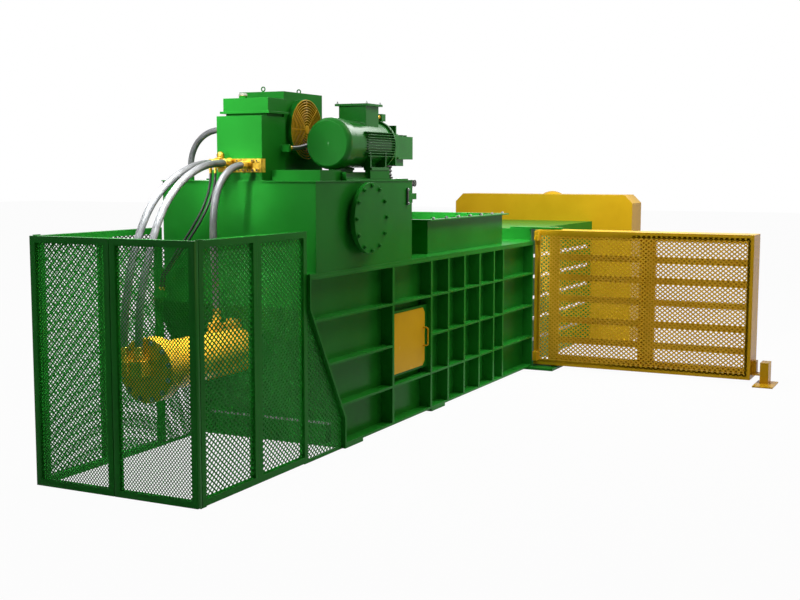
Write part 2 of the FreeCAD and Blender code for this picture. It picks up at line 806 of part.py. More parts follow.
# ---------------------------------------------------------------- power pack
def power_base():
    """Base beams on the tank: a cross beam at the rear, the cooler's base and two motor rails."""
    near = motor_y - rail_offset + rail_width / 2
    far = cooler_far + 120.0
    edge = 20.0
    rear = box(cabinet_step, cabinet_step + rear_beam, near, far, tank_top, base_top)
    cooler = box(cabinet_step + rear_beam, cooler_front, cooler_near - edge, cooler_far + edge / 2, pad_top,
                 base_top)
    solids = [join(rear, cooler)]
    half = foot_length / 2 + edge
    for y in (motor_y - rail_offset, motor_y + rail_offset):
        solids.append(box(foot_x - half, foot_x + half, y - rail_width / 2, y + rail_width / 2, pad_top,
                          base_top))
    return Part.makeCompound(solids)


def motor_housing():
    """Finned frame with end flange, feet and a bore for the rotor."""
    flange_thick = 26.0
    shield_thick = 20.0
    foot_thick = 24.0
    web = 20.0
    foot_in = 130.0
    foot_out = rail_offset + rail_width / 2 + 5.0
    length = motor_front - motor_rear
    body = rod(motor_rear, motor_y, motor_z, stator_r, length)
    flange = rod(motor_front - flange_thick, motor_y, motor_z, cowl_r + 4, flange_thick)
    shield = rod(motor_rear - shield_thick, motor_y, motor_z, cowl_r - cowl_sheet, shield_thick)
    pieces = [flange, shield]
    fin_end = motor_front - flange_thick
    for i in range(fin_count):
        z = motor_z + (i - (fin_count - 1) / 2) * fin_pitch - fin_thick / 2
        pieces.append(box(fin_end - fin_length, fin_end, motor_y - cowl_r, motor_y + cowl_r, z,
                          z + fin_thick))
    x0 = foot_x - foot_length / 2
    x1 = x0 + foot_length
    for side in (-1, 1):
        y0, y1 = sorted((motor_y + side * foot_in, motor_y + side * foot_out))
        pieces.append(box(x0, x1, y0, y1, base_top, base_top + foot_thick))
        w0, w1 = sorted((motor_y + side * stator_r / 2, motor_y + side * (foot_out - web)))
        for x in (x0 + web / 2, x1 - 1.5 * web):
            pieces.append(box(x, x + web, w0, w1, base_top + foot_thick, motor_z - stator_r / 3))
    solid = join(body, *pieces)
    solid = solid.cut(rod(motor_rear + end_wall, motor_y, motor_z, stator_bore, length - 2 * end_wall))
    return solid.cut(rod(cowl_rear, motor_y, motor_z, shaft_r + run_clear, motor_length + bell_length))


def cowl_body(skin):
    """Solid inside the fan cowl's outer skin, moved in by a thickness."""
    turn = math.radians(cowl_turn)
    radius = cowl_r - skin
    arc = cowl_round - skin
    bend = cowl_rear + cowl_round * math.sin(turn)
    edge_x = bend - arc * math.sin(turn)
    edge_r = radius - arc * (1 - math.cos(turn))

    def at(x, r):
        return V(x, motor_y, motor_z + r)

    rounding = Part.Arc(at(bend, radius),
                        at(bend - arc * math.sin(turn / 2), radius - arc * (1 - math.cos(turn / 2))),
                        at(edge_x, edge_r))
    apex = cowl_rear + cowl_dish + skin
    dish_r = (edge_r ** 2 + (apex - edge_x) ** 2) / (2 * (apex - edge_x))
    half = math.asin(edge_r / dish_r) / 2
    dish = Part.Arc(at(edge_x, edge_r), at(apex - dish_r * (1 - math.cos(half)), dish_r * math.sin(half)),
                    at(apex, 0))
    outline = [Part.LineSegment(at(motor_rear, 0), at(motor_rear, radius)),
               Part.LineSegment(at(motor_rear, radius), at(bend, radius)), rounding, dish,
               Part.LineSegment(at(apex, 0), at(motor_rear, 0))]
    profile = Part.Face(Part.Wire([edge.toShape() for edge in outline]))
    return profile.revolve(at(0, 0), X_AXIS, 360)


def motor_cowl():
    """Spun fan cowl: a rounded rear edge round a shallow dished end."""
    return cowl_body(0).cut(cowl_body(cowl_sheet))


def fan_wheel(x, y, z, axis, radius, hub, depth, blades, pitch):
    """Hub with flat blades set at a pitch angle."""
    blade_thick = 4.0
    wheel = Part.makeCylinder(hub, depth, V(0, 0, 0), Z_AXIS)
    parts = []
    for i in range(blades):
        blade = Part.makeBox(radius - hub + 6, blade_thick, depth * 0.9,
                             V(hub - 6, -blade_thick / 2, depth * 0.05))
        blade.rotate(V(0, 0, depth / 2), X_AXIS, pitch)
        blade.rotate(V(0, 0, 0), Z_AXIS, 360.0 * i / blades)
        parts.append(blade)
    wheel = join(wheel, *parts)
    wheel = wheel.common(Part.makeCylinder(radius, depth * 3, V(0, 0, -depth), Z_AXIS))
    wheel.Placement = FreeCAD.Placement(V(x, y, z), FreeCAD.Rotation(Z_AXIS, axis))
    return wheel


def motor_rotor():
    """Shaft with the rotor core, the cooling fan and the coupling that drives the pump."""
    length = motor_front - motor_rear
    tail = 50.0
    play = 20.0
    coupling_length = 110.0
    stub_reach = 60.0
    fan_x0 = cowl_rear + tail + 6.0
    fan_depth = 60.0
    shaft = rod(cowl_rear + tail, motor_y, motor_z, shaft_r, motor_length)
    core = rod(motor_rear + end_wall + play, motor_y, motor_z, stator_bore - core_gap,
               length - 2 * (end_wall + play))
    fan = fan_wheel(fan_x0, motor_y, motor_z, X_AXIS, stator_r - play, 1.5 * shaft_r, fan_depth, 8, 0)
    coupling = rod(motor_front + play, motor_y, motor_z, 2 * shaft_r, coupling_length)
    start = motor_front + play + coupling_length
    stub = rod(start, motor_y, motor_z, stub_shaft_r, bell_front + stub_reach - start)
    return join(shaft, core, fan, coupling, stub)


def terminal_box():
    """Cast box on the motor's crown with an overhanging lid."""
    x0 = foot_x - terminal_length / 2
    x1 = x0 + terminal_length
    z = motor_z + terminal_top
    o = lid_overhang
    case = box(x0, x1, motor_y - terminal_half, motor_y + terminal_half, motor_z + stator_r / 2, z)
    case = case.cut(rod(x0 - 1, motor_y, motor_z, stator_r + run_clear, terminal_length + 2))
    lid = box(x0 - o, x1 + o, motor_y - terminal_half - o, motor_y + terminal_half + o, z,
              z + terminal_lid)
    return join(case, lid)


def bellhousing():
    """Conical housing between motor and pump, with a square flange."""
    x0 = motor_front
    flange = 22.0
    neck = 105.0
    bore = (80.0, 70.0)
    plate_x = x0 + bell_length / 3
    plate_thick = 20.0
    stations = [(0, bore[0]), (0, bell_r), (flange, bell_r), (flange, bell_r - flange),
                (bell_length - flange, neck), (bell_length, neck), (bell_length, bore[1])]
    profile = [V(x0 + along, motor_y, motor_z + radius) for along, radius in stations]
    cone = turned(profile, V(x0, motor_y, motor_z), X_AXIS)
    plate = box(plate_x, plate_x + plate_thick, motor_y - bell_r, motor_y + bell_r, motor_z - bell_r,
                motor_z + bell_r)
    return join(cone, plate.cut(rod(plate_x, motor_y, motor_z, neck, plate_thick)))


elbow_half = 32.0
elbow_length = 75.0
pump_elbow = (bell_front + 10, motor_y + 60, motor_z + elbow_rise)


def pump_body():
    """Vane pump body with its outlet elbow above."""
    case = box(bell_front, pump_front, motor_y - pump_half, motor_y + pump_half, pump_low, pump_high)
    edges = [e for e in case.Edges if abs(e.tangentAt(e.FirstParameter).x) > 0.9]
    corner = 24.0
    case = case.makeFillet(corner, edges)
    x, y, z = pump_elbow
    stem = rod(x + elbow_length / 2, y, pump_high - corner, corner, z - pump_high, Z_AXIS)
    elbow = box(x, x + elbow_length, y - elbow_half, y + elbow_half, z - elbow_half, z + elbow_half)
    return join(case, stem, elbow).cut(rod(bell_front, motor_y, motor_z, stub_shaft_r + run_clear,
                                           2 * elbow_half))


def valve_block():
    """Control block on the pump's front face with its stepped underside and plugs on top."""
    x0 = pump_front
    high = pump_high - 23.0
    foot = block_length / 2
    foot_half = 70.0
    foot_drop = 60.0
    plug = 22.0
    plug_pitch = 80.0
    block = box(x0, x0 + block_length, motor_y - pump_half, motor_y + pump_half, pump_low, high)
    lower = box(x0, x0 + foot, motor_y - foot_half, motor_y + foot_half, pump_low - foot_drop, pump_low)
    plugs = [hex_bolt(x0 + foot_half + plug_pitch * i, motor_y - 2 * plug, high, plug, Z_AXIS)
             for i in range(3)]
    return join(block, lower, *plugs)


def suction_bellows():
    """Rubber expansion joint with flanges between the tank and the pump."""
    x = bell_front + 30.0
    waist = bellows_r - 20.0
    crest = bellows_r - 6.0
    bore = waist - 6.0
    flange = 16.0
    waves = 4
    height = pump_low - pad_top
    step = (height - 2 * flange) / waves
    profile = [(bore, 0), (bellows_r, 0), (bellows_r, flange)]
    for i in range(waves):
        profile.append((waist, flange + step * i))
        profile.append((crest, flange + step * (i + 0.5)))
    profile += [(waist, height - flange), (bellows_r, height - flange), (bellows_r, height), (bore, height)]
    points = [V(x + radius, motor_y, pad_top + rise) for radius, rise in profile]
    return turned(points, V(x, motor_y, pad_top), Z_AXIS)


pressure_start = (cabinet_front - 35, cabinet_near - 47, base_top + 175)
return_start = (cabinet_rear + return_ahead, cabinet_far + stub_length, base_top + return_rise)
return_end = (return_start[0], cabinet_far + return_reach, tank_top + stub_length)
outlet_half = 28.0


def valve_cabinet():
    """Sheet cabinet over the valves; its rear part reaches down to the tank's top."""
    upper = box(cabinet_rear, cabinet_front, cabinet_near, cabinet_far, base_top, cabinet_top)
    lower = box(cabinet_rear, cabinet_step, cabinet_near, cabinet_far, tank_top, base_top)
    stub = rod(return_start[0], cabinet_far, return_start[2], return_hose / 2 + stub_wall, stub_length,
               Y_AXIS)
    x, y, z = pressure_start
    outlet = box(x - outlet_half, x, y - outlet_half, cabinet_near, z - outlet_half, z + outlet_half)
    return join(upper, lower, stub, outlet)


def cabinet_cap():
    """Upper box with a lip, set back on the cabinet, and a breather on top."""
    neck = 22.0
    lip = 18.0
    over = 20.0
    foot_r, foot_high = 34.0, 26.0
    knob_r, knob_high = 24.0, 22.0
    x0 = cabinet_rear + 95.0
    x1 = cooler_rear - 26.0
    z1 = cabinet_top + neck
    z2 = z1 + lip
    z3 = cabinet_top + cap_height
    pieces = [box(x0 + over / 2, cabinet_front - over / 2, cabinet_near + over, cabinet_far - over,
                  cabinet_top, z1),
              box(x0 - over, x1 + over / 2, cabinet_near - over, cabinet_far + over, z1, z2),
              box(x0, x1, cabinet_near, cabinet_far, z2, z3)]
    x = cabinet_rear + breather_ahead
    y = cabinet_far - 92.0
    breather = rod(x, y, z3, foot_r, foot_high, Z_AXIS)
    knob = rounded_rod(x, y, z3 + foot_high, knob_r, knob_high, Z_AXIS, 6)
    return join(*(pieces + [breather, knob]))


bank_rear = cabinet_rear - 65
bank_z = (base_top - 19, base_top + 87)
bank_far = cabinet_far - 52
plug_rows = [cabinet_near + offset for offset in (7, 47, 177, 212, 297)]
rod_hose_start = (bank_rear - 28, cabinet_near + 92, base_top + 38)
near_hose_start = (bank_rear - 36, cabinet_far - 172, base_top + 53)
far_hose_start = (bank_rear - 98, bank_far - 40, base_top + 53)
pilot_starts = [(bank_rear - 60, bank_far + offset, base_top - 3) for offset in (30, -15)]


def hose_fittings():
    """Plated valve bank on the cabinet's rear face with the hoses' crimped sleeves."""
    plug = 18.0
    collar = 14.0
    collar_rise = 5.0
    accumulator_r = 32.0
    pilot_sleeve = 20.0
    pieces = [box(bank_rear, cabinet_rear, cabinet_near - 30, bank_far, bank_z[0], bank_z[1])]
    for x, y, z in (rod_hose_start, near_hose_start, far_hose_start):
        pieces.append(rod(x, y, z, sleeve_r, bank_rear - x))
        pieces.append(rod(x + plug, y, z, sleeve_r + collar_rise, collar))
    for y in plug_rows:
        for z in (bank_z[1] - plug, bank_z[0] + plug):
            pieces.append(hex_bolt(bank_rear, y, z, plug, -X_AXIS))
    x, y, z = bank_rear - pilot_sleeve, far_hose_start[1], bank_z[1]
    pieces.append(rod(x, y, z, accumulator_r - 2, collar + 12, Z_AXIS))
    pieces.append(Part.makeSphere(accumulator_r, V(x, y, z + collar + 12)))
    rail_z = pilot_starts[0][2] + pilot_sleeve
    pieces.append(box(bank_rear - 80, bank_rear, bank_far - 35, bank_far + 50, rail_z, rail_z + plug))
    for x, y, z in pilot_starts:
        pieces.append(rod(x, y, z, 0.7 * pilot_hose, pilot_sleeve, Z_AXIS))
    return join(*pieces)


def cooler_housing():
    """Air cooler case with a round shroud on the near side, open to the fan."""
    s = cooler_sheet
    frame = 40.0
    lip = 6.0
    slat = 20.0
    core = cooler_far - cooler_core
    case = box(cooler_rear, cooler_front, cooler_near, cooler_far, base_top, cooler_top)
    room = box(cooler_rear + s, cooler_front - s, cooler_near + lip, core, base_top + s,
               cooler_top - s)
    shroud = rounded_rod(fan_x, cooler_near, fan_z, shroud_r, shroud_reach, -Y_AXIS, shroud_sheet - 2)
    mouth = rod(fan_x, cooler_near - shroud_reach, fan_z, shroud_r - shroud_sheet, shroud_reach + slat,
                Y_AXIS)
    back = box(cooler_rear + frame, cooler_front - frame, core, cooler_far, base_top + frame,
               cooler_top - frame)
    post = rod(fan_x, core, fan_z, frame, fan_post, -Y_AXIS)
    bars = [box(cooler_rear + s, cooler_front - s, core - lip, core, fan_z - frame, fan_z + frame)]
    count = int((cooler_height - 2 * frame) / louvre_pitch)
    for i in range(count):
        z = base_top + frame + louvre_pitch * (i + 0.5)
        bars.append(box(cooler_rear + frame, cooler_front - frame, cooler_far - 3 * slat, cooler_far - slat,
                        z, z + slat))
    solid = join(case, shroud).cut(room).cut(mouth).cut(back)
    return join(solid, post, *bars)


def cooler_fan():
    """Axial fan on the stub shaft of its motor."""
    depth = 46.0
    tip_gap = 18.0
    shaft_radius = 14.0
    y = cooler_near + fan_back
    wheel = fan_wheel(fan_x, y, fan_z, -Y_AXIS, shroud_r - shroud_sheet - tip_gap, depth, depth, 6, 35)
    end = cooler_far - cooler_core - fan_post - seat_gap
    shaft = rod(fan_x, y - depth, fan_z, shaft_radius, end - y + depth, Y_AXIS)
    return join(wheel, shaft)


def fan_guard():
    """Finger guard of concentric rings on radial wires."""
    y = cooler_near - shroud_reach
    hub = 30.0
    w = guard_wire
    outer = shroud_r - 6
    pitch = (outer - hub - w) / guard_rings
    rings = [rod(fan_x, y, fan_z, hub, w, -Y_AXIS)]
    for i in range(guard_rings):
        r = outer - i * pitch
        rings.append(pipe(fan_x, y, fan_z, r, r - w, w, -Y_AXIS))
    spokes = []
    for i in range(3):
        spoke = box(fan_x - outer + w, fan_x + outer - w, y - w, y, fan_z - w / 2, fan_z + w / 2)
        spoke.rotate(V(fan_x, y, fan_z), Y_AXIS, 60 * i)
        spokes.append(spoke)
    return join(*(rings + spokes))


def lifting_eyes():
    """Eye bolts on the cooler's top."""
    wire = 5.0
    stem_r = 9.0
    rise = eye_r + wire + 6
    solids = []
    for x, y in ((cooler_rear + 90, cooler_far - 176), (cooler_front - 130, cooler_near + 153)):
        eye = Part.makeTorus(eye_r, wire, V(x, y, cooler_top + rise), X_AXIS)
        stem = rod(x, y, cooler_top, stem_r, stem_r, Z_AXIS)
        solids.append(join(eye, stem))
    return Part.makeCompound(solids)


# ---------------------------------------------------------------- main cylinder and ram
def cylinder_barrel():
    """Barrel with the rear bolting flange and the front head that guides the rod."""
    start = head_front - head_thick
    tube = rod(cap_front, 0, axis_z, barrel_r, head_front - cap_front)
    flange_thick = 50.0
    flange = rod(cap_front, 0, axis_z, cap_r, flange_thick)
    head = rod(start, 0, axis_z, barrel_r + head_step, head_thick)
    bore = rod(cap_front, 0, axis_z, bore_r, start - cap_front)
    gland = rod(start, 0, axis_z, rod_r + run_clear, head_thick)
    return join(tube, flange, head).cut(bore).cut(gland)


near_port = (cap_rear - 65, 5.0, axis_z + 116)       # where each hose enters its sleeve
far_port = (cap_rear - 76, 125.0, axis_z + 109)
rod_port = (body_rear - 190, 0.0, crown + 114)
block_height = 110.0
pipe_r = 14.0
pipe_z = crown + 38
clamp_gap = 2.0


def clamp_box(grow):
    """Clamp of the rod-side pipe on the barrel, grown by a distance."""
    half = 45.0
    start = body_rear + 5.0
    length = 235.0
    return box(start - grow, start + length + grow, -half - grow, half + grow, crown - pipe_r - grow,
               pipe_z + 2.4 * pipe_r + grow)


def cylinder_cap():
    """Rear cap with two port blocks; the bore hoses enter their sleeves from above."""
    pieces = []
    block_wall = 6.0
    edge = 6.0
    for (x, y, z), half in ((near_port, 52.0), (far_port, 48.0)):
        top = z - port_sleeve
        pieces.append(box(x - sleeve_r - block_wall, cap_rear, y - half, y + half, top - block_height, top))
        pieces.append(rod(x, y, top, sleeve_r, port_sleeve, Z_AXIS))
    plate = rounded_rod(cap_front, 0, axis_z, cap_r, cap_thick, -X_AXIS, edge)
    return join(plate, *pieces)


def rod_side_pipe():
    """Steel pipe along the barrel's crown from the hose's elbow block to the front head."""
    x, y, z = rod_port
    half = 32.0
    inlet_top = pipe_z + 30.0
    outlet_length = 40.0
    outlet_end = head_front - 5.0
    inlet = box(x - 75, x + 45, -half, half, crown - pipe_r, inlet_top)
    nipple = rod(x, y, inlet_top, sleeve_r - 2, z - inlet_top, Z_AXIS)
    saddles = join(inlet, nipple).fuse(clamp_box(0))
    saddles = saddles.cut(rod(cap_rear, 0, axis_z, barrel_r + run_clear, head_front - cap_rear))
    outlet = box(outlet_end - outlet_length, outlet_end, -half, half, crown, pipe_z + 24)
    outlet = outlet.cut(rod(head_front - head_thick, 0, axis_z, barrel_r + head_step + run_clear, head_thick))
    line = rod(x, 0, pipe_z, pipe_r, outlet_end - outlet_length / 2 - x)
    return join(saddles, line, outlet)


def piston_rod():
    """Rod with its piston near the cap, and the ram's thrust plate at its front end."""
    rest = cap_front + 15.0
    piston = rod(rest, 0, axis_z, bore_r - run_clear, piston_length)
    stem = rod(rest + piston_length, 0, axis_z, rod_r, thrust_x - rest - piston_length)
    return join(piston, stem)


def ram_box():
    """Box ram on runner strips, open at the rear, with the cover plate that closes the feed."""
    half = channel_half - ram_side_gap
    low = floor_top + ram_top_gap
    high = deck_under - ram_top_gap
    p = ram_plate
    rear = ram_face - ram_length
    shell = box(rear, ram_face, -half, half, low, high)
    room = box(rear, ram_face - 2 * p, -half + p, half - p, low + p, high - p)
    cover = box(ram_face - ram_cover, ram_face, -half, half, high - p, high)
    thrust = box(thrust_x, thrust_x + 3 * p, -half + p, half - p, low + p, high - p)
    rib_y = 200.0
    runner_y = 430.0
    runner_half = 35.0
    ribs = [box(thrust_x + 3 * p, ram_face - 2 * p, y - p / 2, y + p / 2, low + p, high - p)
            for y in (-rib_y, rib_y)]
    runners = [box(rear, ram_face, y - runner_half, y + runner_half, floor_top + seat_gap, low)
               for y in (-runner_y, runner_y)]
    return join(shell.cut(room), cover, thrust, *(ribs + runners))


# ---------------------------------------------------------------- cage
infill_rim = 10.0
infill_gap = 4.0
infill_inset = 6.0        # of the infill's frame inside the cage's outer face
sill_high = 12.0
cage_slit = 2.0
pilot_end_x = body_rear - 75.0
pilot_end_z = cage_height - pilot_drop
pilot_ends = [cage_half - cage_bar - 34.0, cage_half - cage_bar - 66.0]     # their distances along Y


def bar_frame_xz(x0, x1, y0, y1, z0, z1, width):
    outer = box(x0, x1, y0, y1, z0, z1)
    return outer.cut(box(x0 + width, x1 - width, y0, y1, z0 + width, z1 - width))


def infill_face(y):
    """Face between the cage's end post, the floor sill and the slanted rear edge of the body."""
    x1 = slant_foot - infill_gap
    z1 = slant_top - 14.0
    return face_of([V(body_rear, y, z1), V(body_rear, y, sill_high), V(x1, y, sill_high),
                    V(x1, y, slant_low)])


def pivot_tab(z0, z1):
    """Tab that holds a pivot pin of the door leaf at the frame's corner post."""
    x, y = cage_pivot
    return box(x - cage_pivot_r, side_x0 + cage_bar, -cage_half, y + cage_pivot_r, z0, z1)


def cage_side():
    """Near side of the cage: two welded frames, the infill's thin frame and the leaf's pivots."""
    y0 = -cage_half
    y1 = y0 + cage_bar
    low = cage_floor_gap
    high = cage_height
    weld = 8.0
    first = bar_frame_xz(side_x0, seam_x - cage_slit, y0, y1, low, high, cage_bar)
    second = bar_frame_xz(seam_x, body_rear, y0, y1, low, high, cage_bar)
    seam = box(seam_x - cage_slit, seam_x, y0 + weld, y1 - weld, high / 6, high * 5 / 6)
    face = infill_face(y0 + infill_inset)
    rim = face.cut(face.makeOffset2D(-infill_rim)).extrude(V(0, infill_rim + infill_gap, 0))
    sill = box(body_rear - cage_bar, slant_foot - infill_gap, y0 + cage_slit, y0 + cage_bar / 2, 0,
               sill_high)
    x, y = cage_pivot
    foot = pivot_tab(0, low - seat_gap)
    post_foot = box(side_x0, side_x0 + cage_bar, y0, y1, 0, low)
    cap = pivot_tab(high + seat_gap, high + low)
    cap_seat = box(side_x0, side_x0 + cage_bar, y0, y + cage_pivot_r, high, high + low)
    pins = [rod(x, y, 0, cage_pivot_r, cage_bar / 2, Z_AXIS),
            rod(x, y, high + low - cage_bar / 2, cage_pivot_r, cage_bar / 2, Z_AXIS)]
    return join(first, second, seam, rim, sill, foot, post_foot, cap, cap_seat, *pins)


def cage_sides():
    """Both sides, with the block on the far one that the pilot hoses lead to."""
    near = cage_side()
    half = 32.0
    block = box(pilot_end_x - half, pilot_end_x + half, pilot_ends[1] - pilot_hose,
                pilot_ends[0] + 2.4 * pilot_hose, pilot_end_z - 2 * half, pilot_end_z)
    return Part.makeCompound([near, join(mirrored(near), block)])


def side_mesh():
    """Mesh sheets of both cage sides and of the infills."""
    b = cage_bar
    y = -cage_half + b / 2 - mesh_thick / 2

    def place(u, v, w):
        return V(u, y + w, v)

    z0 = cage_floor_gap + b
    z1 = cage_height - b
    sheets = [diamond_mesh(side_x0 + b, seam_x - cage_slit - b, z0, z1, 3, 7, strand, place),
              diamond_mesh(seam_x + b, body_rear - b, z0, z1, 3, 7, strand, place),
              infill_mesh()]
    return Part.makeCompound(sheets + [mirrored(s) for s in sheets])


def infill_mesh():
    """Mesh in the infill's frame, cut to the frame's inner outline."""
    y = -cage_half + infill_inset + infill_rim / 2
    inner = infill_face(y).makeOffset2D(-infill_rim)
    corners = [(v.X, v.Z) for v in inner.OuterWire.OrderedVertexes]
    area = sum(au * bv - bu * av for (au, av), (bu, bv) in zip(corners, corners[1:] + corners[:1]))
    if area < 0:
        corners.reverse()
    us = [u for u, v in corners]
    vs = [v for u, v in corners]

    def place(u, v, w):
        return V(u, y + w, v)

    return diamond_mesh(min(us), max(us), min(vs), max(vs), 3, 6, strand, place, corners)


def cage_door(sign):
    """Door leaf of the cage's rear; sign is -1 for the near leaf and 1 for the far one."""
    b = cage_bar
    x0 = cage_rear
    y1 = -cage_gap / 2
    low = cage_floor_gap
    ring = box(x0, x0 + b, -cage_half, y1, low, cage_height)
    ring = ring.cut(box(x0, x0 + b, -cage_half + b, y1 - b, low + b, cage_height - b))
    x_mesh = x0 + b / 2 - mesh_thick / 2

    def place(u, v, w):
        return V(x_mesh + w, u, v)

    sheet = diamond_mesh(-cage_half + b, y1 - b, low + b, cage_height - b, 3, 7, strand, place)
    x, y = cage_pivot
    bore = rod(x, y, 0, cage_pivot_r + run_clear, cage_bar, Z_AXIS)
    high_bore = rod(x, y, cage_height - cage_bar, cage_pivot_r + run_clear, cage_bar, Z_AXIS)
    leaf = join(ring, sheet).cut(bore).cut(high_bore)
    return leaf if sign < 0 else mirrored(leaf)


# ---------------------------------------------------------------- swing gate
tongue_z = gate_low + 47
tongue_half = 80.0
tongue_reach = 92.0
tongue_thick = 14.0


def gate_frame():
    """Deep box frame: rim sheets, a bar frame at the outer side, bars at the inner side, pivot stubs."""
    g = gate_bar
    s = gate_sheet
    rim = box(gate_rear, gate_rear + gate_rim, gate_tip, gate_near, gate_low, gate_high)
    rim = rim.cut(box(gate_rear, gate_rear + gate_rim, gate_tip + g, gate_near - g, gate_low + g,
                      gate_high - g))
    top = box(gate_rear, gate_front, gate_tip, gate_near, gate_high - s, gate_high)
    bottom = box(gate_rear, gate_front, gate_tip, gate_near, gate_low, gate_low + s)
    end = box(gate_rear, gate_front, gate_tip, gate_tip + s, gate_low, gate_high)
    x0 = gate_front - 30.0
    y1 = gate_near - 60.0
    bar_half = 36.0
    stop = (65.0, 50.0, 105.0)
    stop_inset = 10.0
    pin_in = 60.0
    pin_lift = 2.0
    posts = [box(x0, gate_front, y, y + gate_post, gate_low, gate_high)
             for y in (y1 - gate_post, gate_near - (gate_length + 1.5 * gate_post) / 2, gate_tip)]
    bars = [box(x0, gate_front, gate_tip, y1, z - bar_half, z + bar_half) for z in gate_bar_heights]
    rails = [box(x0, gate_front, gate_tip, y1, z, z + 2 * bar_half)
             for z in (gate_low, gate_high - 2 * bar_half)]
    stops = [box(gate_rear - stop[0], gate_rear, y1, y1 + stop[1], z, z + stop[2])
             for z in (gate_low + stop[1], gate_high - stop_inset - stop[2])]
    top_pin = rod(pivot_x, pivot_y, gate_high - pin_in, gate_pin_r,
                  roof_top + pivot_plate - gate_high + pin_in, Z_AXIS)
    low_pin = rod(pivot_x, pivot_y, pin_lift, gate_pin_r, gate_low + pin_in, Z_AXIS)
    bosses = [rod(pivot_x, pivot_y, gate_high, gate_boss_r, roof_top - seat_gap - gate_high, Z_AXIS),
              rod(pivot_x, pivot_y, sleeper_thick + seat_gap, gate_boss_r,
                  gate_low - sleeper_thick - seat_gap, Z_AXIS)]
    tongue_x = gate_rear + 140.0
    tongue = box(tongue_x - tongue_half, tongue_x + tongue_half, gate_tip - tongue_reach, gate_tip, tongue_z,
                 tongue_z + tongue_thick)
    lug_half = 50.0
    lug = box(tongue_x - lug_half, tongue_x + lug_half, gate_tip - lug_half, gate_tip,
              tongue_z + tongue_thick, tongue_z + 3 * lug_half)
    return join(rim, top, bottom, end, *(posts + bars + rails + stops + bosses
                                         + [top_pin, low_pin, tongue, lug]))


def gate_mesh():
    """Mesh sheet in the gate's rim."""
    g = gate_bar
    x = gate_rear + gate_rim / 2 - 2.0

    def place(u, v, w):
        return V(x + w, u, v)

    return diamond_mesh(gate_tip + g, gate_near - g, gate_low + g, gate_high - g, 12, 6, 2 * strand, place)


def gate_stand():
    """Floor stand that holds the open gate: an upright on a base plate."""
    y = gate_tip - tongue_reach
    plate = 14.0
    length = 400.0
    depth = 210.0
    upright_half = 90.0
    upright_depth = 89.0
    stop_gap = 6.0
    x = gate_rear + 110.0
    base = box(x + 120 - length, x + 120, y - depth + 40, y + 40, 0, plate)
    upright = box(x - upright_half, x + upright_half, y - stop_gap - upright_depth, y - stop_gap, plate,
                  tongue_z + 146)
    return join(base, upright)


# ---------------------------------------------------------------- bolts
def hex_bolts():
    """Bolts of the hopper's flange, the manhole cover and the cylinder's rear cap."""
    size = 20.0
    end = 70.0
    y = hopper_half + hopper_flange / 2
    solids = []
    for i in range(hopper_bolts):
        x = feed_start + end + i * (feed_length - 2 * end) / (hopper_bolts - 1)
        solids.append(hex_bolt(x, -y, hopper_top, size, Z_AXIS))
        solids.append(hex_bolt(x, y, hopper_top, size, Z_AXIS))
    solids += bolt_circle(manhole_x, -tank_half - manhole_reach - manhole_cover, manhole_z,
                          (manhole_flange_r + manhole_neck_r) / 2, manhole_bolts, size, -Y_AXIS, X_AXIS)
    solids += bolt_circle(cap_rear, 0, axis_z, (cap_r + barrel_r) / 2, cap_bolts, size, -X_AXIS, Y_AXIS)
    return Part.makeCompound(solids)


# ---------------------------------------------------------------- hoses
def hose_far():
    shares = [(0.132, 0, 0), (0.333, 0, 0.036), (0.542, 0, 0.115), (0.712, 0, 0.224), (0.838, 0, 0.377),
              (0.925, 0, 0.552), (0.977, 0, 0.734), (1, 0, 0.872)]
    return hose("far bore hose", draped(far_hose_start, far_port, shares), big_hose)


def hose_near():
    shares = [(0.162, 0, 0), (0.362, 0.125, 0.037), (0.554, 0.325, 0.116), (0.712, 0.475, 0.233),
              (0.825, 0.625, 0.386), (0.912, 0.775, 0.554), (0.975, 0.9, 0.73), (1, 1, 0.869)]
    return hose("near bore hose", draped(near_hose_start, near_port, shares), big_hose)


def hose_rod_side():
    shares = [(0.265, 0, 0), (0.728, 0.06, 0.021), (1.132, 0.13, 0.081), (1.405, 0.22, 0.17),
              (1.506, 0.3, 0.274), (1.482, 0.43, 0.412), (1.37, 0.58, 0.566), (1.206, 0.76, 0.728),
              (1, 1, 0.881)]
    return hose("rod side hose", draped(rod_hose_start, rod_port, shares), big_hose)


def hoses_pilot():
    first_end, second_end = [(pilot_end_x, y, pilot_end_z) for y in pilot_ends]
    first = [(0, 0, 0.127), (0.27, 0.13, 0.314), (0.64, 0.34, 0.491), (0.98, 0.6, 0.667),
             (1.11, 0.82, 0.813), (1, 1, 0.896)]
    second = [(0, 0, 0.127), (0.345, 0.125, 0.314), (0.727, 0.318, 0.491), (1.11, 0.58, 0.667),
              (1.236, 0.83, 0.813), (1, 1, 0.896)]
    return Part.makeCompound([hose("first pilot hose", draped(pilot_starts[0], first_end, first), pilot_hose),
                              hose("second pilot hose", draped(pilot_starts[1], second_end, second),
                                   pilot_hose)])


def hose_return():
    shares = [(0, 0.203, 0), (0, 0.518, 0.07), (0, 0.788, 0.25), (0, 0.956, 0.508), (0, 1, 0.792)]
    return hose("return hose", draped(return_start, return_end, shares), return_hose)


def hose_pressure():
    shares = [(0.113, 0, 0), (0.25, 0, 0.103), (0.387, 0, 0.281), (0.524, 0.02, 0.514), (0.661, 0.15, 0.74),
              (0.754, 0.435, 0.89), (0.839, 0.747, 0.966), (0.919, 1, 1)]
    return hose("pressure hose", draped(pressure_start, pump_elbow, shares), pressure_hose)


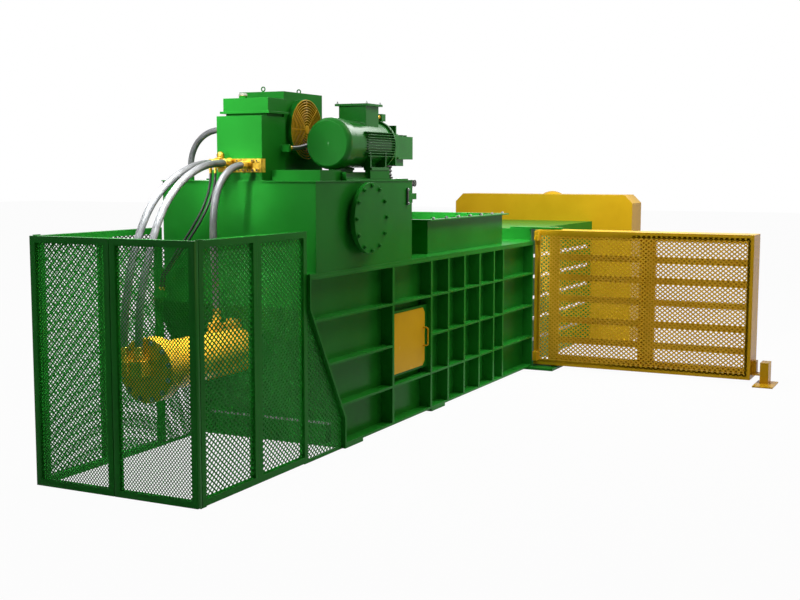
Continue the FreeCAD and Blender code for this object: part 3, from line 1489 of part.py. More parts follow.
# ---------------------------------------------------------------- build
parts = {
    "sleeper_frame": sleeper_frame(),
    "floor_plate": box(slant_foot, squeeze_end, -channel_half, channel_half, floor_under, floor_top),
    "side_wall_near": near_wall(),
    "side_wall_far": side_wall(),
    "side_ribs_near": near_ribs(),
    "side_ribs_far": side_ribs(),
    "rear_bulkhead": rear_bulkhead(),
    "top_deck": top_deck(),
    "feed_hopper": feed_hopper(),
    "tying_roof": tying_roof(),
    "tying_side_near": mirrored(tying_side()),
    "tying_side_far": tying_side(),
    "wire_guides": wire_guides(),
    "squeeze_frame": squeeze_frame(),
    "tension_cylinder": tension_cylinder(),
    "tension_platen": tension_platen(),
    "inspection_door": inspection_door(),
    "door_handle": door_handle(),
    "tank_shell": tank_shell(),
    "tank_top_plate": tank_top_plate(),
    "manhole_neck": manhole_neck(),
    "manhole_cover": manhole_plate(),
    "level_gauge": level_gauge(),
    "gauge_bracket": gauge_bracket(),
    "pressure_gauges": pressure_gauges(),
    "power_base": power_base(),
    "motor_housing": motor_housing(),
    "motor_cowl": motor_cowl(),
    "motor_rotor": motor_rotor(),
    "terminal_box": terminal_box(),
    "bellhousing": bellhousing(),
    "pump_body": pump_body(),
    "valve_block": valve_block(),
    "suction_bellows": suction_bellows(),
    "valve_cabinet": valve_cabinet(),
    "cabinet_cap": cabinet_cap(),
    "hose_fittings": hose_fittings(),
    "cooler_housing": cooler_housing(),
    "cooler_fan": cooler_fan(),
    "fan_guard": fan_guard(),
    "lifting_eyes": lifting_eyes(),
    "cylinder_barrel": cylinder_barrel(),
    "cylinder_cap": cylinder_cap(),
    "rod_side_pipe": rod_side_pipe(),
    "piston_rod": piston_rod(),
    "ram_box": ram_box(),
    "cage_sides": cage_sides(),
    "cage_side_mesh": side_mesh(),
    "cage_door_near": cage_door(-1),
    "cage_door_far": cage_door(1),
    "gate_frame": gate_frame(),
    "gate_mesh": gate_mesh(),
    "gate_stand": gate_stand(),
    "hex_bolts": hex_bolts(),
    "hose_bore_far": hose_far(),
    "hose_bore_near": hose_near(),
    "hose_rod_side": hose_rod_side(),
    "hoses_pilot": hoses_pilot(),
    "hose_return": hose_return(),
    "hose_pressure": hose_pressure(),
}

os.makedirs("parts", exist_ok=True)
for name, shape in parts.items():
    if not shape.isValid():
        print("not valid:", name)
    shape.exportStep("parts/%s.step" % name)
print(len(parts), "parts")
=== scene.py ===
"""Looks of a horizontal channel baler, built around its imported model. Metres, +X to the discharge, +Z up."""

import logging
from collections.abc import Callable, Sequence
from dataclasses import dataclass
from enum import Enum
from math import cos, pi, radians, sin

import bpy
from bpy.types import ID, Material, MeshPolygon, Node, NodeSocket, NodeTree, Object
from mathutils import Matrix, Vector


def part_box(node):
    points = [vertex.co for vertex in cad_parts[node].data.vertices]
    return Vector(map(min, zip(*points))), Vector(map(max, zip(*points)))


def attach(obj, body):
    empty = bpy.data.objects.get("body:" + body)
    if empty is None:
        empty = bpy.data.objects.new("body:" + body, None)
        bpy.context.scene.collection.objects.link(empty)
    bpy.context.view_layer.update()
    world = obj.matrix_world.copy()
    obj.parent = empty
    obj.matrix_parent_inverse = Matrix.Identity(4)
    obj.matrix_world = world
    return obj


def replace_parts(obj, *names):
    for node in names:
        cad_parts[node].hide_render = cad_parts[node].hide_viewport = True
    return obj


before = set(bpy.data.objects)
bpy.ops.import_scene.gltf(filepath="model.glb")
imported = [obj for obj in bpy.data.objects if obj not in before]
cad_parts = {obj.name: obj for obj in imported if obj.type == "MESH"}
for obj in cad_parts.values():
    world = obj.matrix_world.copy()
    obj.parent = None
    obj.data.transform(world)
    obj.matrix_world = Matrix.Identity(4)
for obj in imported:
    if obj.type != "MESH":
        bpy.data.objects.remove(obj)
Point = Sequence[float]
log = logging.getLogger("baler")
MM = 0.001
MERGE = 1e-5  # vertices nearer than this are one, in metres
CRISP = 30.0  # edges over this angle stay sharp on turned and hexagonal parts, in degrees
ORIGIN, UP, NEAR, REAR = (0, 0, 0), (0, 0, 1), (0, -1, 0), (-1, 0, 0)
QUARTER = Matrix.Rotation(radians(90), 4, "Z")
shift = Matrix.Translation


# ---- finishes
def linear(hex_colour: str) -> tuple[float, float, float, float]:
    """Turn an sRGB hex colour into linear light.

    Args:
        hex_colour: Six hex digits after a hash sign.

    Returns:
        Red, green, blue and alpha for a colour socket.
    """
    values = [int(hex_colour[i:i + 2], 16) / 255 for i in (1, 3, 5)]
    light = [v / 12.92 if v <= 0.04045 else ((v + 0.055) / 1.055) ** 2.4 for v in values]
    return light[0], light[1], light[2], 1.0


def add_node(tree: NodeTree, kind: str, settings: dict | None = None, links: dict | None = None) -> Node:
    """Add one shader node with its settings and links.

    Args:
        tree: The material's or world's node tree.
        kind: Blender's type name without the leading "ShaderNode".
        settings: Property or input socket name to value.
        links: Input socket name or number to what feeds it: an output socket, or a node for its first output.

    Returns:
        The new node.
    """
    made = tree.nodes.new("ShaderNode" + kind)
    for key, value in (settings or {}).items():
        if isinstance(key, str) and hasattr(made, key):
            setattr(made, key, value)
        else:
            made.inputs[key].default_value = value
    for key, source in (links or {}).items():
        socket = source if isinstance(source, NodeSocket) else source.outputs[0]
        tree.links.new(socket, made.inputs[key])
    return made


def ramp_stops(made: Node, stops: Sequence[tuple[float, str]]) -> Node:
    """Set a colour ramp's stops.

    Args:
        made: The ramp node.
        stops: Position and hex colour of each stop, at least two.

    Returns:
        The same node.
    """
    elements = made.color_ramp.elements
    while len(elements) < len(stops):
        elements.new(0.5)
    for element, (position, colour) in zip(elements, stops):
        element.position = position
        element.color = linear(colour)
    return made


def blank_material(name: str) -> tuple[Material, NodeTree]:
    """Make a material with an empty node tree.

    Args:
        name: The material's name.

    Returns:
        The material and its node tree.
    """
    material = bpy.data.materials.new(name)
    material.use_nodes = True
    material.node_tree.nodes.clear()
    return material, material.node_tree


def new_object(name: str, data: ID) -> Object:
    """Put a new object into the scene.

    Args:
        name: Its name.
        data: Its mesh, curve, lamp or camera.

    Returns:
        The object.
    """
    made = bpy.data.objects.new(name, data)
    bpy.context.scene.collection.objects.link(made)
    return made


@dataclass(frozen=True)
class Enamel:
    """Two-part machine enamel, sprayed on primed steel: even colour, soft gloss, a faint orange peel."""

    name: str
    colour: str
    worn_and_lit: str  # paler tone of the edges: partly rubbed paint, partly a painted highlight
    dusty: str  # tone where dust has settled
    roughness: float = 0.24
    peel_mm: float = 3.0  # size of the orange peel; coarser than real, so that it shows
    peel_height_mm: float = 0.05
    cloud_mm: float = 420.0  # size of the faint unevenness of the coat
    edge_mm: float = 2.5  # edge radius that catches the light, and width of the paler edges, partly a painted highlight
    index: float = 1.12  # refraction; low, so that the coat hardly mirrors at a slant
    scuff_and_highlight_mm: float = 35.0  # size of the patches where edges turn paler, partly rubbed, partly a painted highlight

    def build(self) -> Material:
        """Make the material.

        Returns:
            The material.
        """
        material, tree = blank_material(self.name)
        place = {"Vector": add_node(tree, "TexCoord").outputs["Object"]}
        cloud = add_node(tree, "TexNoise", {"Scale": 1000 / self.cloud_mm, "Detail": 3.0}, place)
        tone = ramp_stops(add_node(tree, "ValToRGB", None, {"Fac": cloud}),
                          ((0.35, self.dusty), (0.62, self.colour)))
        soft = add_node(tree, "Bevel", {"Radius": self.edge_mm * MM, "samples": 4})
        plain = add_node(tree, "NewGeometry")
        match = add_node(tree, "VectorMath", {"operation": "DOT_PRODUCT"},
                         {0: soft, 1: plain.outputs["True Normal"]})
        # Sharp edges turn paler in random patches: partly rubbed paint, partly a painted highlight along the
        # edges.
        scuffs_and_highlights = add_node(tree, "TexNoise", {"Scale": 1000 / self.scuff_and_highlight_mm, "Detail": 4.0}, place)
        rubbed_and_lit_edges = add_node(tree, "MapRange", {"From Min": 0.97, "From Max": 0.80},
                          {"Value": match.outputs["Value"]})
        patchy = add_node(tree, "Math", {"operation": "MULTIPLY"}, {0: rubbed_and_lit_edges, 1: scuffs_and_highlights})
        coat = add_node(tree, "Mix", {"data_type": "RGBA", "B": linear(self.worn_and_lit)},
                        {"Factor": patchy, "A": tone})
        peel = add_node(tree, "TexNoise", {"Scale": 1000 / self.peel_mm, "Detail": 1.0}, place)
        bump = add_node(tree, "Bump", {"Strength": 0.35, "Distance": self.peel_height_mm * MM},
                        {"Height": peel, "Normal": soft})
        gloss = add_node(tree, "MapRange", {"To Min": self.roughness * 0.85, "To Max": self.roughness * 1.25},
                         {"Value": cloud})
        shader = add_node(tree, "BsdfPrincipled", {"Specular IOR Level": 0.5, "IOR": self.index},
                          {"Base Color": coat.outputs["Result"], "Roughness": gloss, "Normal": bump})
        add_node(tree, "OutputMaterial", None, {"Surface": shader})
        return material


@dataclass(frozen=True)
class Grained:
    """Surface with a fine grain and patches of dirt, the parent of metals and mouldings."""

    name: str
    colour: str
    dirt: str  # tone of the patches
    roughness: float
    grain_mm: float
    grain_height_mm: float = 0.02
    patch_mm: float = 60.0
    details: Point = (3.0, 4.0)  # of the grain's and of the patches' noise
    tones: Point = (0.32, 0.55)  # where the dirt ends and where the clean colour starts
    glosses: Point = (0.7, 1.4)  # shares of the roughness at both ends
    stretch: Point = (1.0, 1.0, 1.0)  # of the grain
    specular: float = 0.4

    def shading(self) -> dict[str, float]:
        """Give the shader's own settings."""
        return {"Specular IOR Level": self.specular, "IOR": 1.5}

    def build(self) -> Material:
        """Make the material.

        Returns:
            The material.
        """
        material, tree = blank_material(self.name)
        place = {"Vector": add_node(tree, "TexCoord").outputs["Object"]}
        turned = add_node(tree, "Mapping", {"Scale": self.stretch}, place)
        grain = add_node(tree, "TexNoise", {"Scale": 1000 / self.grain_mm, "Detail": self.details[0]},
                         {"Vector": turned})
        patch = add_node(tree, "TexNoise", {"Scale": 1000 / self.patch_mm, "Detail": self.details[1]}, place)
        tone = ramp_stops(add_node(tree, "ValToRGB", None, {"Fac": patch}),
                          tuple(zip(self.tones, (self.dirt, self.colour))))
        low, high = (self.roughness * share for share in self.glosses)
        gloss = add_node(tree, "MapRange", {"To Min": low, "To Max": high}, {"Value": patch})
        bump = add_node(tree, "Bump", {"Strength": 0.4, "Distance": self.grain_height_mm * MM},
                        {"Height": grain})
        shader = add_node(tree, "BsdfPrincipled", self.shading(),
                          {"Base Color": tone, "Roughness": gloss, "Normal": bump})
        add_node(tree, "OutputMaterial", None, {"Surface": shader})
        return material


@dataclass(frozen=True)
class Metal(Grained):
    """Bare or plated metal: grain from turning, drawing or plating, with patches of darker grime."""

    def shading(self) -> dict[str, float]:
        """Give the shader's own settings."""
        return {"Metallic": 1.0}


@dataclass(frozen=True)
class Moulded(Grained):
    """Rubber or plastic, extruded or moulded: fine texture, soft highlight, patches of dust."""

    grain_height_mm: float = 0.08
    patch_mm: float = 90.0
    details: Point = (2.0, 3.0)
    tones: Point = (0.35, 0.6)
    glosses: Point = (0.85, 1.2)


class Finish(Enum):
    """Every finish of the machine; each value says how it is made."""

    # Each enamel: colour, paler edge tone (partly rubbed paint, partly a painted highlight), dust tone.
    GREEN = Enamel("green_machine_enamel", "#22852a", "#4fae50", "#1f7c26")
    CASTING = Enamel("green_casting_enamel", "#22852a", "#5cbf5c", "#1f7926", roughness=0.2, index=1.22)
    YELLOW = Enamel("golden_yellow_enamel", "#dbae1f", "#f3da70", "#d2a51a")
    CYLINDER = Enamel("cylinder_yellow_enamel", "#edb933", "#fae094", "#e9b42e", roughness=0.18, index=1.3)
    GREEN_MESH = Enamel("green_dipped_mesh", "#24892e", "#48a250", "#1f7c28", edge_mm=0.6)
    # Paler than the gate's yellow: painted brightness standing in for light on the gate's mesh and the fan
    # guard.
    YELLOW_MESH = Enamel("yellow_mesh_painted_bright", "#f0bd35", "#f6d061", "#e3ae2b", edge_mm=0.8)
    PLATED = Metal("yellow_passivated_zinc", "#cfae42", "#7c5a16", 0.34, 4.0)
    BOLT = Metal("zinc_plated_bolt_steel", "#8f9492", "#565b5a", 0.34, 3.0)
    GROUND = Metal("ground_wear_steel", "#8b8d8e", "#5b5753", 0.38, 2.0, stretch=(0.05, 1.0, 1.0))
    CHROME = Metal("hard_chrome_rod", "#c9ccd0", "#a9adb2", 0.10, 5.0, grain_height_mm=0.004)
    HOSE = Moulded("smooth_hose_rubber", "#57595b", "#67696b", 0.3, 2.5, specular=0.6)
    PILOT = Moulded("black_pilot_hose_rubber", "#1b1d1e", "#2a2c2d", 0.38, 2.0)
    BELLOWS = Moulded("black_bellows_rubber", "#17191a", "#26282a", 0.5, 2.0)
    PLASTIC = Moulded("dark_glass_filled_nylon", "#232628", "#2f3335", 0.45, 1.5)
    EYELET = Moulded("black_guide_nylon", "#141617", "#232526", 0.16, 2.0, specular=0.8)
    GUIDE = Moulded("pale_guide_nylon", "#c9c9c0", "#a9a99d", 0.4, 2.0)
    GLASS = Moulded("oil_sight_glass", "#1c1a12", "#26231a", 0.06, 6.0, grain_height_mm=0.004, specular=0.6)
    # Dark grey card: a painted dark reflection of the gauge glass over the dial face.
    DIAL = Moulded("dial_card_painted_dark_reflection", "#2b2d2e", "#333637", 0.35, 1.0, grain_height_mm=0.01)

    @property
    def material(self) -> Material:
        """The finish's material, made the first time it is asked for."""
        return bpy.data.materials.get(self.value.name) or self.value.build()


# ---- modelling
def deselect() -> None:
    """Leave every object unselected, in object mode."""
    if bpy.context.object and bpy.context.object.mode != "OBJECT":
        bpy.ops.object.mode_set(mode="OBJECT")
    bpy.ops.object.select_all(action="DESELECT")


class Shape:
    """A mesh that is being modelled, and the operators that shape it."""

    def __init__(self, obj: Object) -> None:
        """Take over a mesh object."""
        self.obj = obj

    @classmethod
    def block(cls, name: str, low: Point, high: Point) -> "Shape":
        """Start from a cube stretched between two corners.

        Args:
            name: Its name.
            low: Lowest corner.
            high: Highest corner.

        Returns:
            The shape.
        """
        deselect()
        a, b = Vector(low), Vector(high)
        bpy.ops.mesh.primitive_cube_add(size=1, location=(a + b) / 2, scale=b - a)
        return cls._started(name)

    @classmethod
    def drum(cls, name: str, start: Point, along: Point, radius: float, sides: int = 48) -> "Shape":
        """Start from a cylinder.

        Args:
            name: Its name.
            start: Middle of its first end.
            along: From the first end to the other one.
            radius: Its radius.
            sides: Number of side faces.

        Returns:
            The shape.
        """
        deselect()
        a, d = Vector(start), Vector(along)
        bpy.ops.mesh.primitive_cylinder_add(vertices=sides, radius=radius, depth=d.length, location=a + d / 2,
                                            rotation=d.to_track_quat("Z", "Y").to_euler())
        return cls._started(name)

    @classmethod
    def spindle(cls, name: str, start: Point, way: Point, profile: Sequence[Point],
                sides: int = 24) -> "Shape":
        """Start from a cylinder and draw it out step by step, as on a lathe.

        Args:
            name: Its name.
            start: Where the axis starts.
            way: The axis' direction.
            profile: Distance along the axis and radius of each step, in mm; the first step is a cylinder.
            sides: Number of faces round it.

        Returns:
            The shape.
        """
        axis = Vector(way).normalized()
        first, reach = profile[0][1] * MM, profile[1][0] * MM
        made = cls.drum(name, start, axis * reach, first, sides)
        made.facing(axis)
        before = first
        for number, (distance, radius) in enumerate(profile[1:]):
            if number:
                made.push(axis * (distance * MM - reach))
            reach = distance * MM
            share = radius * MM / before
            bpy.ops.transform.resize(value=(share, share, share), center_override=Vector(start) + axis * reach)
            before = radius * MM
        return made.done()

    @classmethod
    def ring(cls, name: str, middle: Point, way: Point, radius: float, wire: float) -> "Shape":
        """Start from a wire ring.

        Args:
            name: Its name.
            middle: Its middle.
            way: Its axis.
            radius: From the middle to the wire's middle.
            wire: The wire's diameter.

        Returns:
            The shape.
        """
        deselect()
        bpy.ops.mesh.primitive_torus_add(major_segments=56, minor_segments=8, major_radius=radius,
                                         minor_radius=wire / 2, location=middle,
                                         rotation=Vector(way).to_track_quat("Z", "Y").to_euler())
        return cls._started(name)

    @classmethod
    def _started(cls, name: str) -> "Shape":
        """Name the new primitive and put its place in its mesh.

        Args:
            name: Its name.

        Returns:
            The shape.
        """
        bpy.ops.object.transform_apply(location=True, rotation=True, scale=True)
        return cls(bpy.context.object).named(name)

    def named(self, name: str) -> "Shape":
        """Name the object and its mesh."""
        self.obj.name = self.obj.data.name = name
        return self

    def active(self) -> None:
        """Select this object alone, in object mode."""
        deselect()
        self.obj.select_set(True)
        bpy.context.view_layer.objects.active = self.obj

    def edit(self, wanted: Callable[[MeshPolygon], bool]) -> "Shape":
        """Open edit mode with the wanted faces selected.

        Args:
            wanted: Says of each face whether it is selected.

        Returns:
            The shape, in edit mode.
        """
        self.active()
        mesh = self.obj.data
        for part in (mesh.vertices, mesh.edges):
            part.foreach_set("select", [False] * len(part))
        mesh.polygons.foreach_set("select", [wanted(face) for face in mesh.polygons])
        bpy.context.tool_settings.mesh_select_mode = (False, False, True)
        bpy.ops.object.mode_set(mode="EDIT")
        return self

    def facing(self, direction: Point, least: float = 0.9) -> "Shape":
        """Open edit mode with the faces that look one way selected."""
        way = Vector(direction).normalized()
        return self.edit(lambda face: face.normal.dot(way) > least)

    def inset(self, width: float, depth: float = 0.0) -> "Shape":
        """Inset the selected faces and move them in or out."""
        bpy.ops.mesh.inset(thickness=width, depth=depth, use_even_offset=True)
        return self

    def push(self, by: Point) -> "Shape":
        """Extrude the selected faces by a vector."""
        bpy.ops.mesh.extrude_region_move(TRANSFORM_OT_translate={"value": tuple(by)})
        return self

    def done(self) -> "Shape":
        """Close edit mode."""
        bpy.ops.object.mode_set(mode="OBJECT")
        return self

    def moved(self, place: Matrix) -> "Shape":
        """Move the mesh."""
        self.obj.data.transform(place)
        return self

    def mirrored(self) -> "Shape":
        """Mirror the mesh to the machine's other side."""
        self.moved(Matrix.Diagonal((1, -1, 1, 1))).obj.data.flip_normals()
        return self

    def modify(self, kind: str, **settings: object) -> "Shape":
        """Add a modifier and apply it.

        Args:
            kind: The modifier's type.
            **settings: Its properties.

        Returns:
            The shape.
        """
        self.active()
        modifier = self.obj.modifiers.new(kind.lower(), kind)
        for key, value in settings.items():
            setattr(modifier, key, value)
        bpy.ops.object.modifier_apply(modifier=modifier.name)
        return self

    def round_edges(self, width: float, segments: int = 2) -> "Shape":
        """Round the sharp edges."""
        return self.modify("BEVEL", width=width, segments=segments, limit_method="ANGLE",
                           angle_limit=radians(40))

    def copied(self, places: Sequence[Matrix]) -> list["Shape"]:
        """Copy the shape, each copy with its own mesh.

        Args:
            places: Where each copy goes, from where the shape is now.

        Returns:
            The copies; the shape itself is removed.
        """
        made = [Shape(new_object("%s_%d" % (self.obj.name, number), self.obj.data.copy())).moved(place)
                for number, place in enumerate(places)]
        bpy.data.objects.remove(self.obj)
        return made

    def dress(self, finish: Finish, body: str = "machine", smooth: float = 40.0) -> Object:
        """Give the shape its finish and the body that it rides on.

        Args:
            finish: Its finish.
            body: The CAD body.
            smooth: Edges under this angle in degrees are shaded smooth.

        Returns:
            The finished piece.
        """
        self.active()
        bpy.ops.object.shade_smooth_by_angle(angle=radians(smooth))
        self.obj.data.materials.clear()
        self.obj.data.materials.append(finish.material)
        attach(self.obj, body)
        log.info("piece %s on %s", self.obj.name, body)
        return self.obj


def joined(name: str, shapes: Sequence[Shape]) -> Shape:
    """Join shapes into one object.

    Args:
        name: The new object's name.
        shapes: What to join.

    Returns:
        The joined shape.
    """
    deselect()
    for shape in shapes:
        shape.obj.select_set(True)
    bpy.context.view_layer.objects.active = shapes[0].obj
    bpy.ops.object.join()
    return shapes[0].named(name)


# ---- studio
@dataclass
class Studio:
    """Plain floor, soft lamps, white background and the camera at the photograph's angle."""

    eye: Point = (-10.174, -5.294, 2.2496)
    turn: float = 26.058  # degrees from +X towards +Y
    tilt: float = 6.174  # degrees downwards
    roll: float = 0.113
    lens: float = 53.2  # mm on the 36 mm sensor
    floor_size: float = 120.0
    floor_white: float = 0.97  # share of plain white in what the camera sees of the floor

    def build(self) -> None:
        """Make the whole studio."""
        self.camera()
        self.floor()
        self.world()
        self.lamps()
        bpy.context.scene.view_settings.view_transform = "Standard"

    def camera(self) -> None:
        """Place the camera."""
        turn, tilt, roll = (radians(v) for v in (self.turn, self.tilt, self.roll))
        ahead = Vector((cos(turn) * cos(tilt), sin(turn) * cos(tilt), -sin(tilt)))
        level = Vector((sin(turn), -cos(turn), 0.0))
        over = level.cross(ahead)
        right = level * cos(roll) + over * sin(roll)
        up = over * cos(roll) - level * sin(roll)
        data = bpy.data.cameras.new("photo_camera")
        data.lens, data.sensor_width, data.clip_end = self.lens, 36.0, 300.0
        camera = new_object("photo_camera", data)
        camera.matrix_world = shift(self.eye) @ Matrix((right, up, -ahead)).transposed().to_4x4()
        bpy.context.scene.camera = camera

    def seen(self, tree: NodeTree) -> Node:
        """Tell looking from lighting.

        Args:
            tree: The node tree.

        Returns:
            A node that gives 1 for camera, glossy and transmission rays, and 0 for the rest.
        """
        rays, either = add_node(tree, "LightPath").outputs, {"operation": "MAXIMUM"}
        seen = add_node(tree, "Math", either, {0: rays["Is Camera Ray"], 1: rays["Is Glossy Ray"]})
        return add_node(tree, "Math", either, {0: seen, 1: rays["Is Transmission Ray"]})

    def floor(self) -> None:
        """Lay a pale floor that the camera sees nearly white, with a faint shadow."""
        deselect()
        bpy.ops.mesh.primitive_plane_add(size=self.floor_size, location=ORIGIN)
        floor = bpy.context.object
        floor.name = "studio_floor"
        material, tree = blank_material("studio_floor")
        share = add_node(tree, "Math", {"operation": "MULTIPLY", 1: self.floor_white}, {0: self.seen(tree)})
        lit = add_node(tree, "BsdfDiffuse", {"Color": linear("#bcbcbc")})
        white = add_node(tree, "Emission", {"Color": linear("#ffffff"), "Strength": 1.0})
        both = add_node(tree, "MixShader", None, {0: share, 1: lit, 2: white})
        add_node(tree, "OutputMaterial", None, {"Surface": both})
        floor.data.materials.append(material)

    def world(self) -> None:
        """Light from all round for the object, plain white where the camera and reflections look."""
        world = bpy.data.worlds.new("studio_world")
        bpy.context.scene.world = world
        world.use_nodes = True
        tree = world.node_tree
        tree.nodes.clear()
        fill = add_node(tree, "Background", {"Color": linear("#e8eef2"), "Strength": 0.02})
        white = add_node(tree, "Background", {"Color": linear("#ffffff"), "Strength": 1.0})
        both = add_node(tree, "MixShader", None, {0: self.seen(tree), 1: fill, 2: white})
        add_node(tree, "OutputWorld", None, {"Surface": both})

    def lamps(self) -> None:
        """Hang the soft lamps: over the machine, behind the cage and beside the camera."""
        for name, place, target, size, watts, spread, tint in (
                ("over_tank", (-3.05, 0.1, 3.3), (-3.0, 0.1, 0.8), 1.1, 48, 180, "#ffffff"),
                ("over_cage", (-3.3, -0.2, 2.7), (-3.15, -0.05, 0.8), 0.7, 17, 75, "#ffffff"),
                ("rear_pool", (-5.0, 0.1, 2.5), (-2.3, 0, 2.12), 0.5, 1.2, 12, "#ffffff"),
                ("hopper_pool", (-0.8, 0, 4.4), (2.02, 0, 1.85), 0.5, 9, 26, "#ffffff"),
                ("rear_fill", (-9, 2.5, 3.5), (-3, 0, 1), 4, 60, 180, "#ffffff"),
                ("far_fill", (10, 6.5, 4.5), (1.5, 0, 1), 4, 300, 180, "#ffffff"),
                ("over_hopper", (2.8, -1.7, 5.2), (3.2, 0, 1.2), 3, 320, 180, "#ffffff"),
                ("over_near", (-0.5, -3.6, 6), (-0.2, -0.7, 0.8), 3, 95, 180, "#fff2d8"),
                ("near_right", (5, -9.5, 3.2), (0, -0.7, 0.9), 3, 115, 180, "#ffd890")):
            data = bpy.data.lights.new("lamp_" + name, "AREA")
            data.size, data.energy, data.color = size, watts, linear(tint)[:3]
            data.spread = radians(spread)
            lamp = new_object("lamp_" + name, data)
            lamp.visible_camera = False
            lamp.location = place
            lamp.rotation_euler = (Vector(target) - Vector(place)).to_track_quat("-Z", "Y").to_euler()


# ---- painted CAD nodes
class Paintwork:
    """Finishes of the CAD nodes; those that aren't named are green."""

    NODES = {
        Finish.YELLOW: "squeeze_frame tension_cylinder inspection_door door_handle gate_frame gate_stand "
                       "ram_box",
        Finish.CASTING: "motor_housing motor_cowl terminal_box bellhousing pump_body valve_block",
        Finish.CYLINDER: "cylinder_barrel cylinder_cap rod_side_pipe",
        Finish.GROUND: "floor_plate tension_platen motor_rotor",
        Finish.PLATED: "hose_fittings fan_guard",
        Finish.PLASTIC: "cooler_fan level_gauge pressure_gauges",
        Finish.CHROME: "piston_rod",
        Finish.BELLOWS: "suction_bellows",
        Finish.BOLT: "hex_bolts",
        Finish.EYELET: "wire_guides",
        Finish.GREEN_MESH: "cage_side_mesh",
        Finish.YELLOW_MESH: "gate_mesh",
    }

    def apply(self) -> None:
        """Paint every CAD node."""
        finish_of = {name: finish for finish, names in self.NODES.items() for name in names.split()}
        for name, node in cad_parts.items():
            node.data.materials.clear()
            node.data.materials.append(finish_of.get(name, Finish.GREEN).material)


# ---- hoses
@dataclass(frozen=True)
class HoseRun:
    """One hose: its node, diameter in mm, the length of its tube in metres, its two ends in mm, and for each
    control point between them how much of the way in X, Y and Z is done."""

    name: str
    diameter: float
    length: float
    start: Point
    end: Point
    shares: tuple[Point, ...]
    finish: Finish = Finish.HOSE

    @property
    def points(self) -> list[Point]:
        """Every control point, in metres."""
        shares = ((0, 0, 0), *self.shares, (1, 1, 1))
        return [tuple((s + (e - s) * k) * MM for s, e, k in zip(self.start, self.end, row)) for row in shares]


@dataclass
class Hoses:
    """The power pack's hoses, each a smooth spline through the control points of its CAD tube."""

    largest: float = 56.0  # diameter in mm of the hose that the ferrules' sizes are given for
    runs: tuple[HoseRun, ...] = (
        HoseRun("hose_bore_far", 56, 2.031, (-2408, 125, 2318), (-3556, 125, 944), (
        (0.132, 0, 0), (0.333, 0, 0.036), (0.542, 0, 0.115), (0.712, 0, 0.224), (0.838, 0, 0.377),
        (0.925, 0, 0.552), (0.977, 0, 0.734), (1, 0, 0.872))),
        HoseRun("hose_bore_near", 56, 2.061, (-2346, 45, 2318), (-3545, 5, 951), (
        (0.162, 0, 0), (0.362, 0.125, 0.037), (0.554, 0.325, 0.116), (0.712, 0.475, 0.233),
        (0.825, 0.625, 0.386), (0.912, 0.775, 0.554), (0.975, 0.9, 0.73), (1, 1, 0.869))),
        HoseRun("hose_rod_side", 56, 1.430, (-2338, -115, 2303), (-2595, 0, 1131), (
        (0.265, 0, 0), (0.728, 0.06, 0.021), (1.132, 0.13, 0.081), (1.405, 0.22, 0.17), (1.506, 0.3, 0.274),
        (1.482, 0.43, 0.412), (1.37, 0.58, 0.566), (1.206, 0.76, 0.728), (1, 1, 0.881))),
        HoseRun("hoses_pilot", 20, 1.090, (-2370, 195, 2262), (-2480, 622, 1300), (
        (0, 0, 0.127), (0.27, 0.13, 0.314), (0.64, 0.34, 0.491), (0.98, 0.6, 0.667), (1.11, 0.82, 0.813),
        (1, 1, 0.896)), Finish.PILOT),
        HoseRun("hoses_pilot", 20, 1.102, (-2370, 150, 2262), (-2480, 590, 1300), (
        (0, 0, 0.127), (0.345, 0.125, 0.314), (0.727, 0.318, 0.491), (1.11, 0.58, 0.667),
        (1.236, 0.83, 0.813), (1, 1, 0.896)), Finish.PILOT),
        HoseRun("hose_return", 50, 0.594, (-2100, 243, 2590), (-2100, 583, 2206), (
        (0, 0.203, 0), (0, 0.518, 0.07), (0, 0.788, 0.25), (0, 0.956, 0.508), (0, 1, 0.792))),
        HoseRun("hose_pressure", 38, 1.321, (-1930, -254, 2440), (-690, -440, 2732), (
        (0.113, 0, 0), (0.25, 0, 0.103), (0.387, 0, 0.281), (0.524, 0.02, 0.514), (0.661, 0.15, 0.74),
        (0.754, 0.435, 0.89), (0.839, 0.747, 0.966), (0.919, 1, 1))))

    def build(self) -> None:
        """Make every hose."""
        for number, run in enumerate(self.runs):
            self.hose(run, number)
        ends = [end for run in self.runs for end in self.ferrules(run)]
        joined("hose_ferrules", ends).dress(Finish.PLATED, smooth=CRISP)

    def ferrules(self, run: HoseRun) -> list[Shape]:
        """Crimped ferrules on both ends of a hose.

        Args:
            run: The hose.

        Returns:
            The two ferrules.
        """
        r, k = run.diameter / 2, run.diameter / self.largest
        steps = ((0, 5), (8, 5), (10, 3), (16, 3), (18, 5), (30, 5), (32, 3), (38, 3), (40, 5), (62, 5))
        profile = [*((reach * k, r + rise * k) for reach, rise in steps), (66 * k, r + 1)]
        points = [Vector(point) for point in run.points]
        return [Shape.spindle("ferrule", first, second - first, profile, 32)
                for first, second in (points[:2], points[:-3:-1])]

    def hose(self, run: HoseRun, number: int) -> None:
        """Make one hose.

        Args:
            run: The hose.
            number: Its number, for its name.
        """
        curve = bpy.data.curves.new("hose_%d" % number, "CURVE")
        curve.dimensions, curve.use_fill_caps = "3D", True
        curve.bevel_depth, curve.bevel_resolution = run.diameter / 2 * MM, 8
        spline = curve.splines.new("NURBS")
        spline.points.add(len(run.points) - 1)
        for target, point in zip(spline.points, run.points):
            target.co = (*point, 1.0)
        spline.order_u, spline.resolution_u, spline.use_endpoint_u = 3, 12, True
        obj = new_object("%s_%d" % (run.name, number), curve)
        curve.materials.append(run.finish.material)
        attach(obj, "machine")
        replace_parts(obj, run.name)
        log.info("hose %s", obj.name)


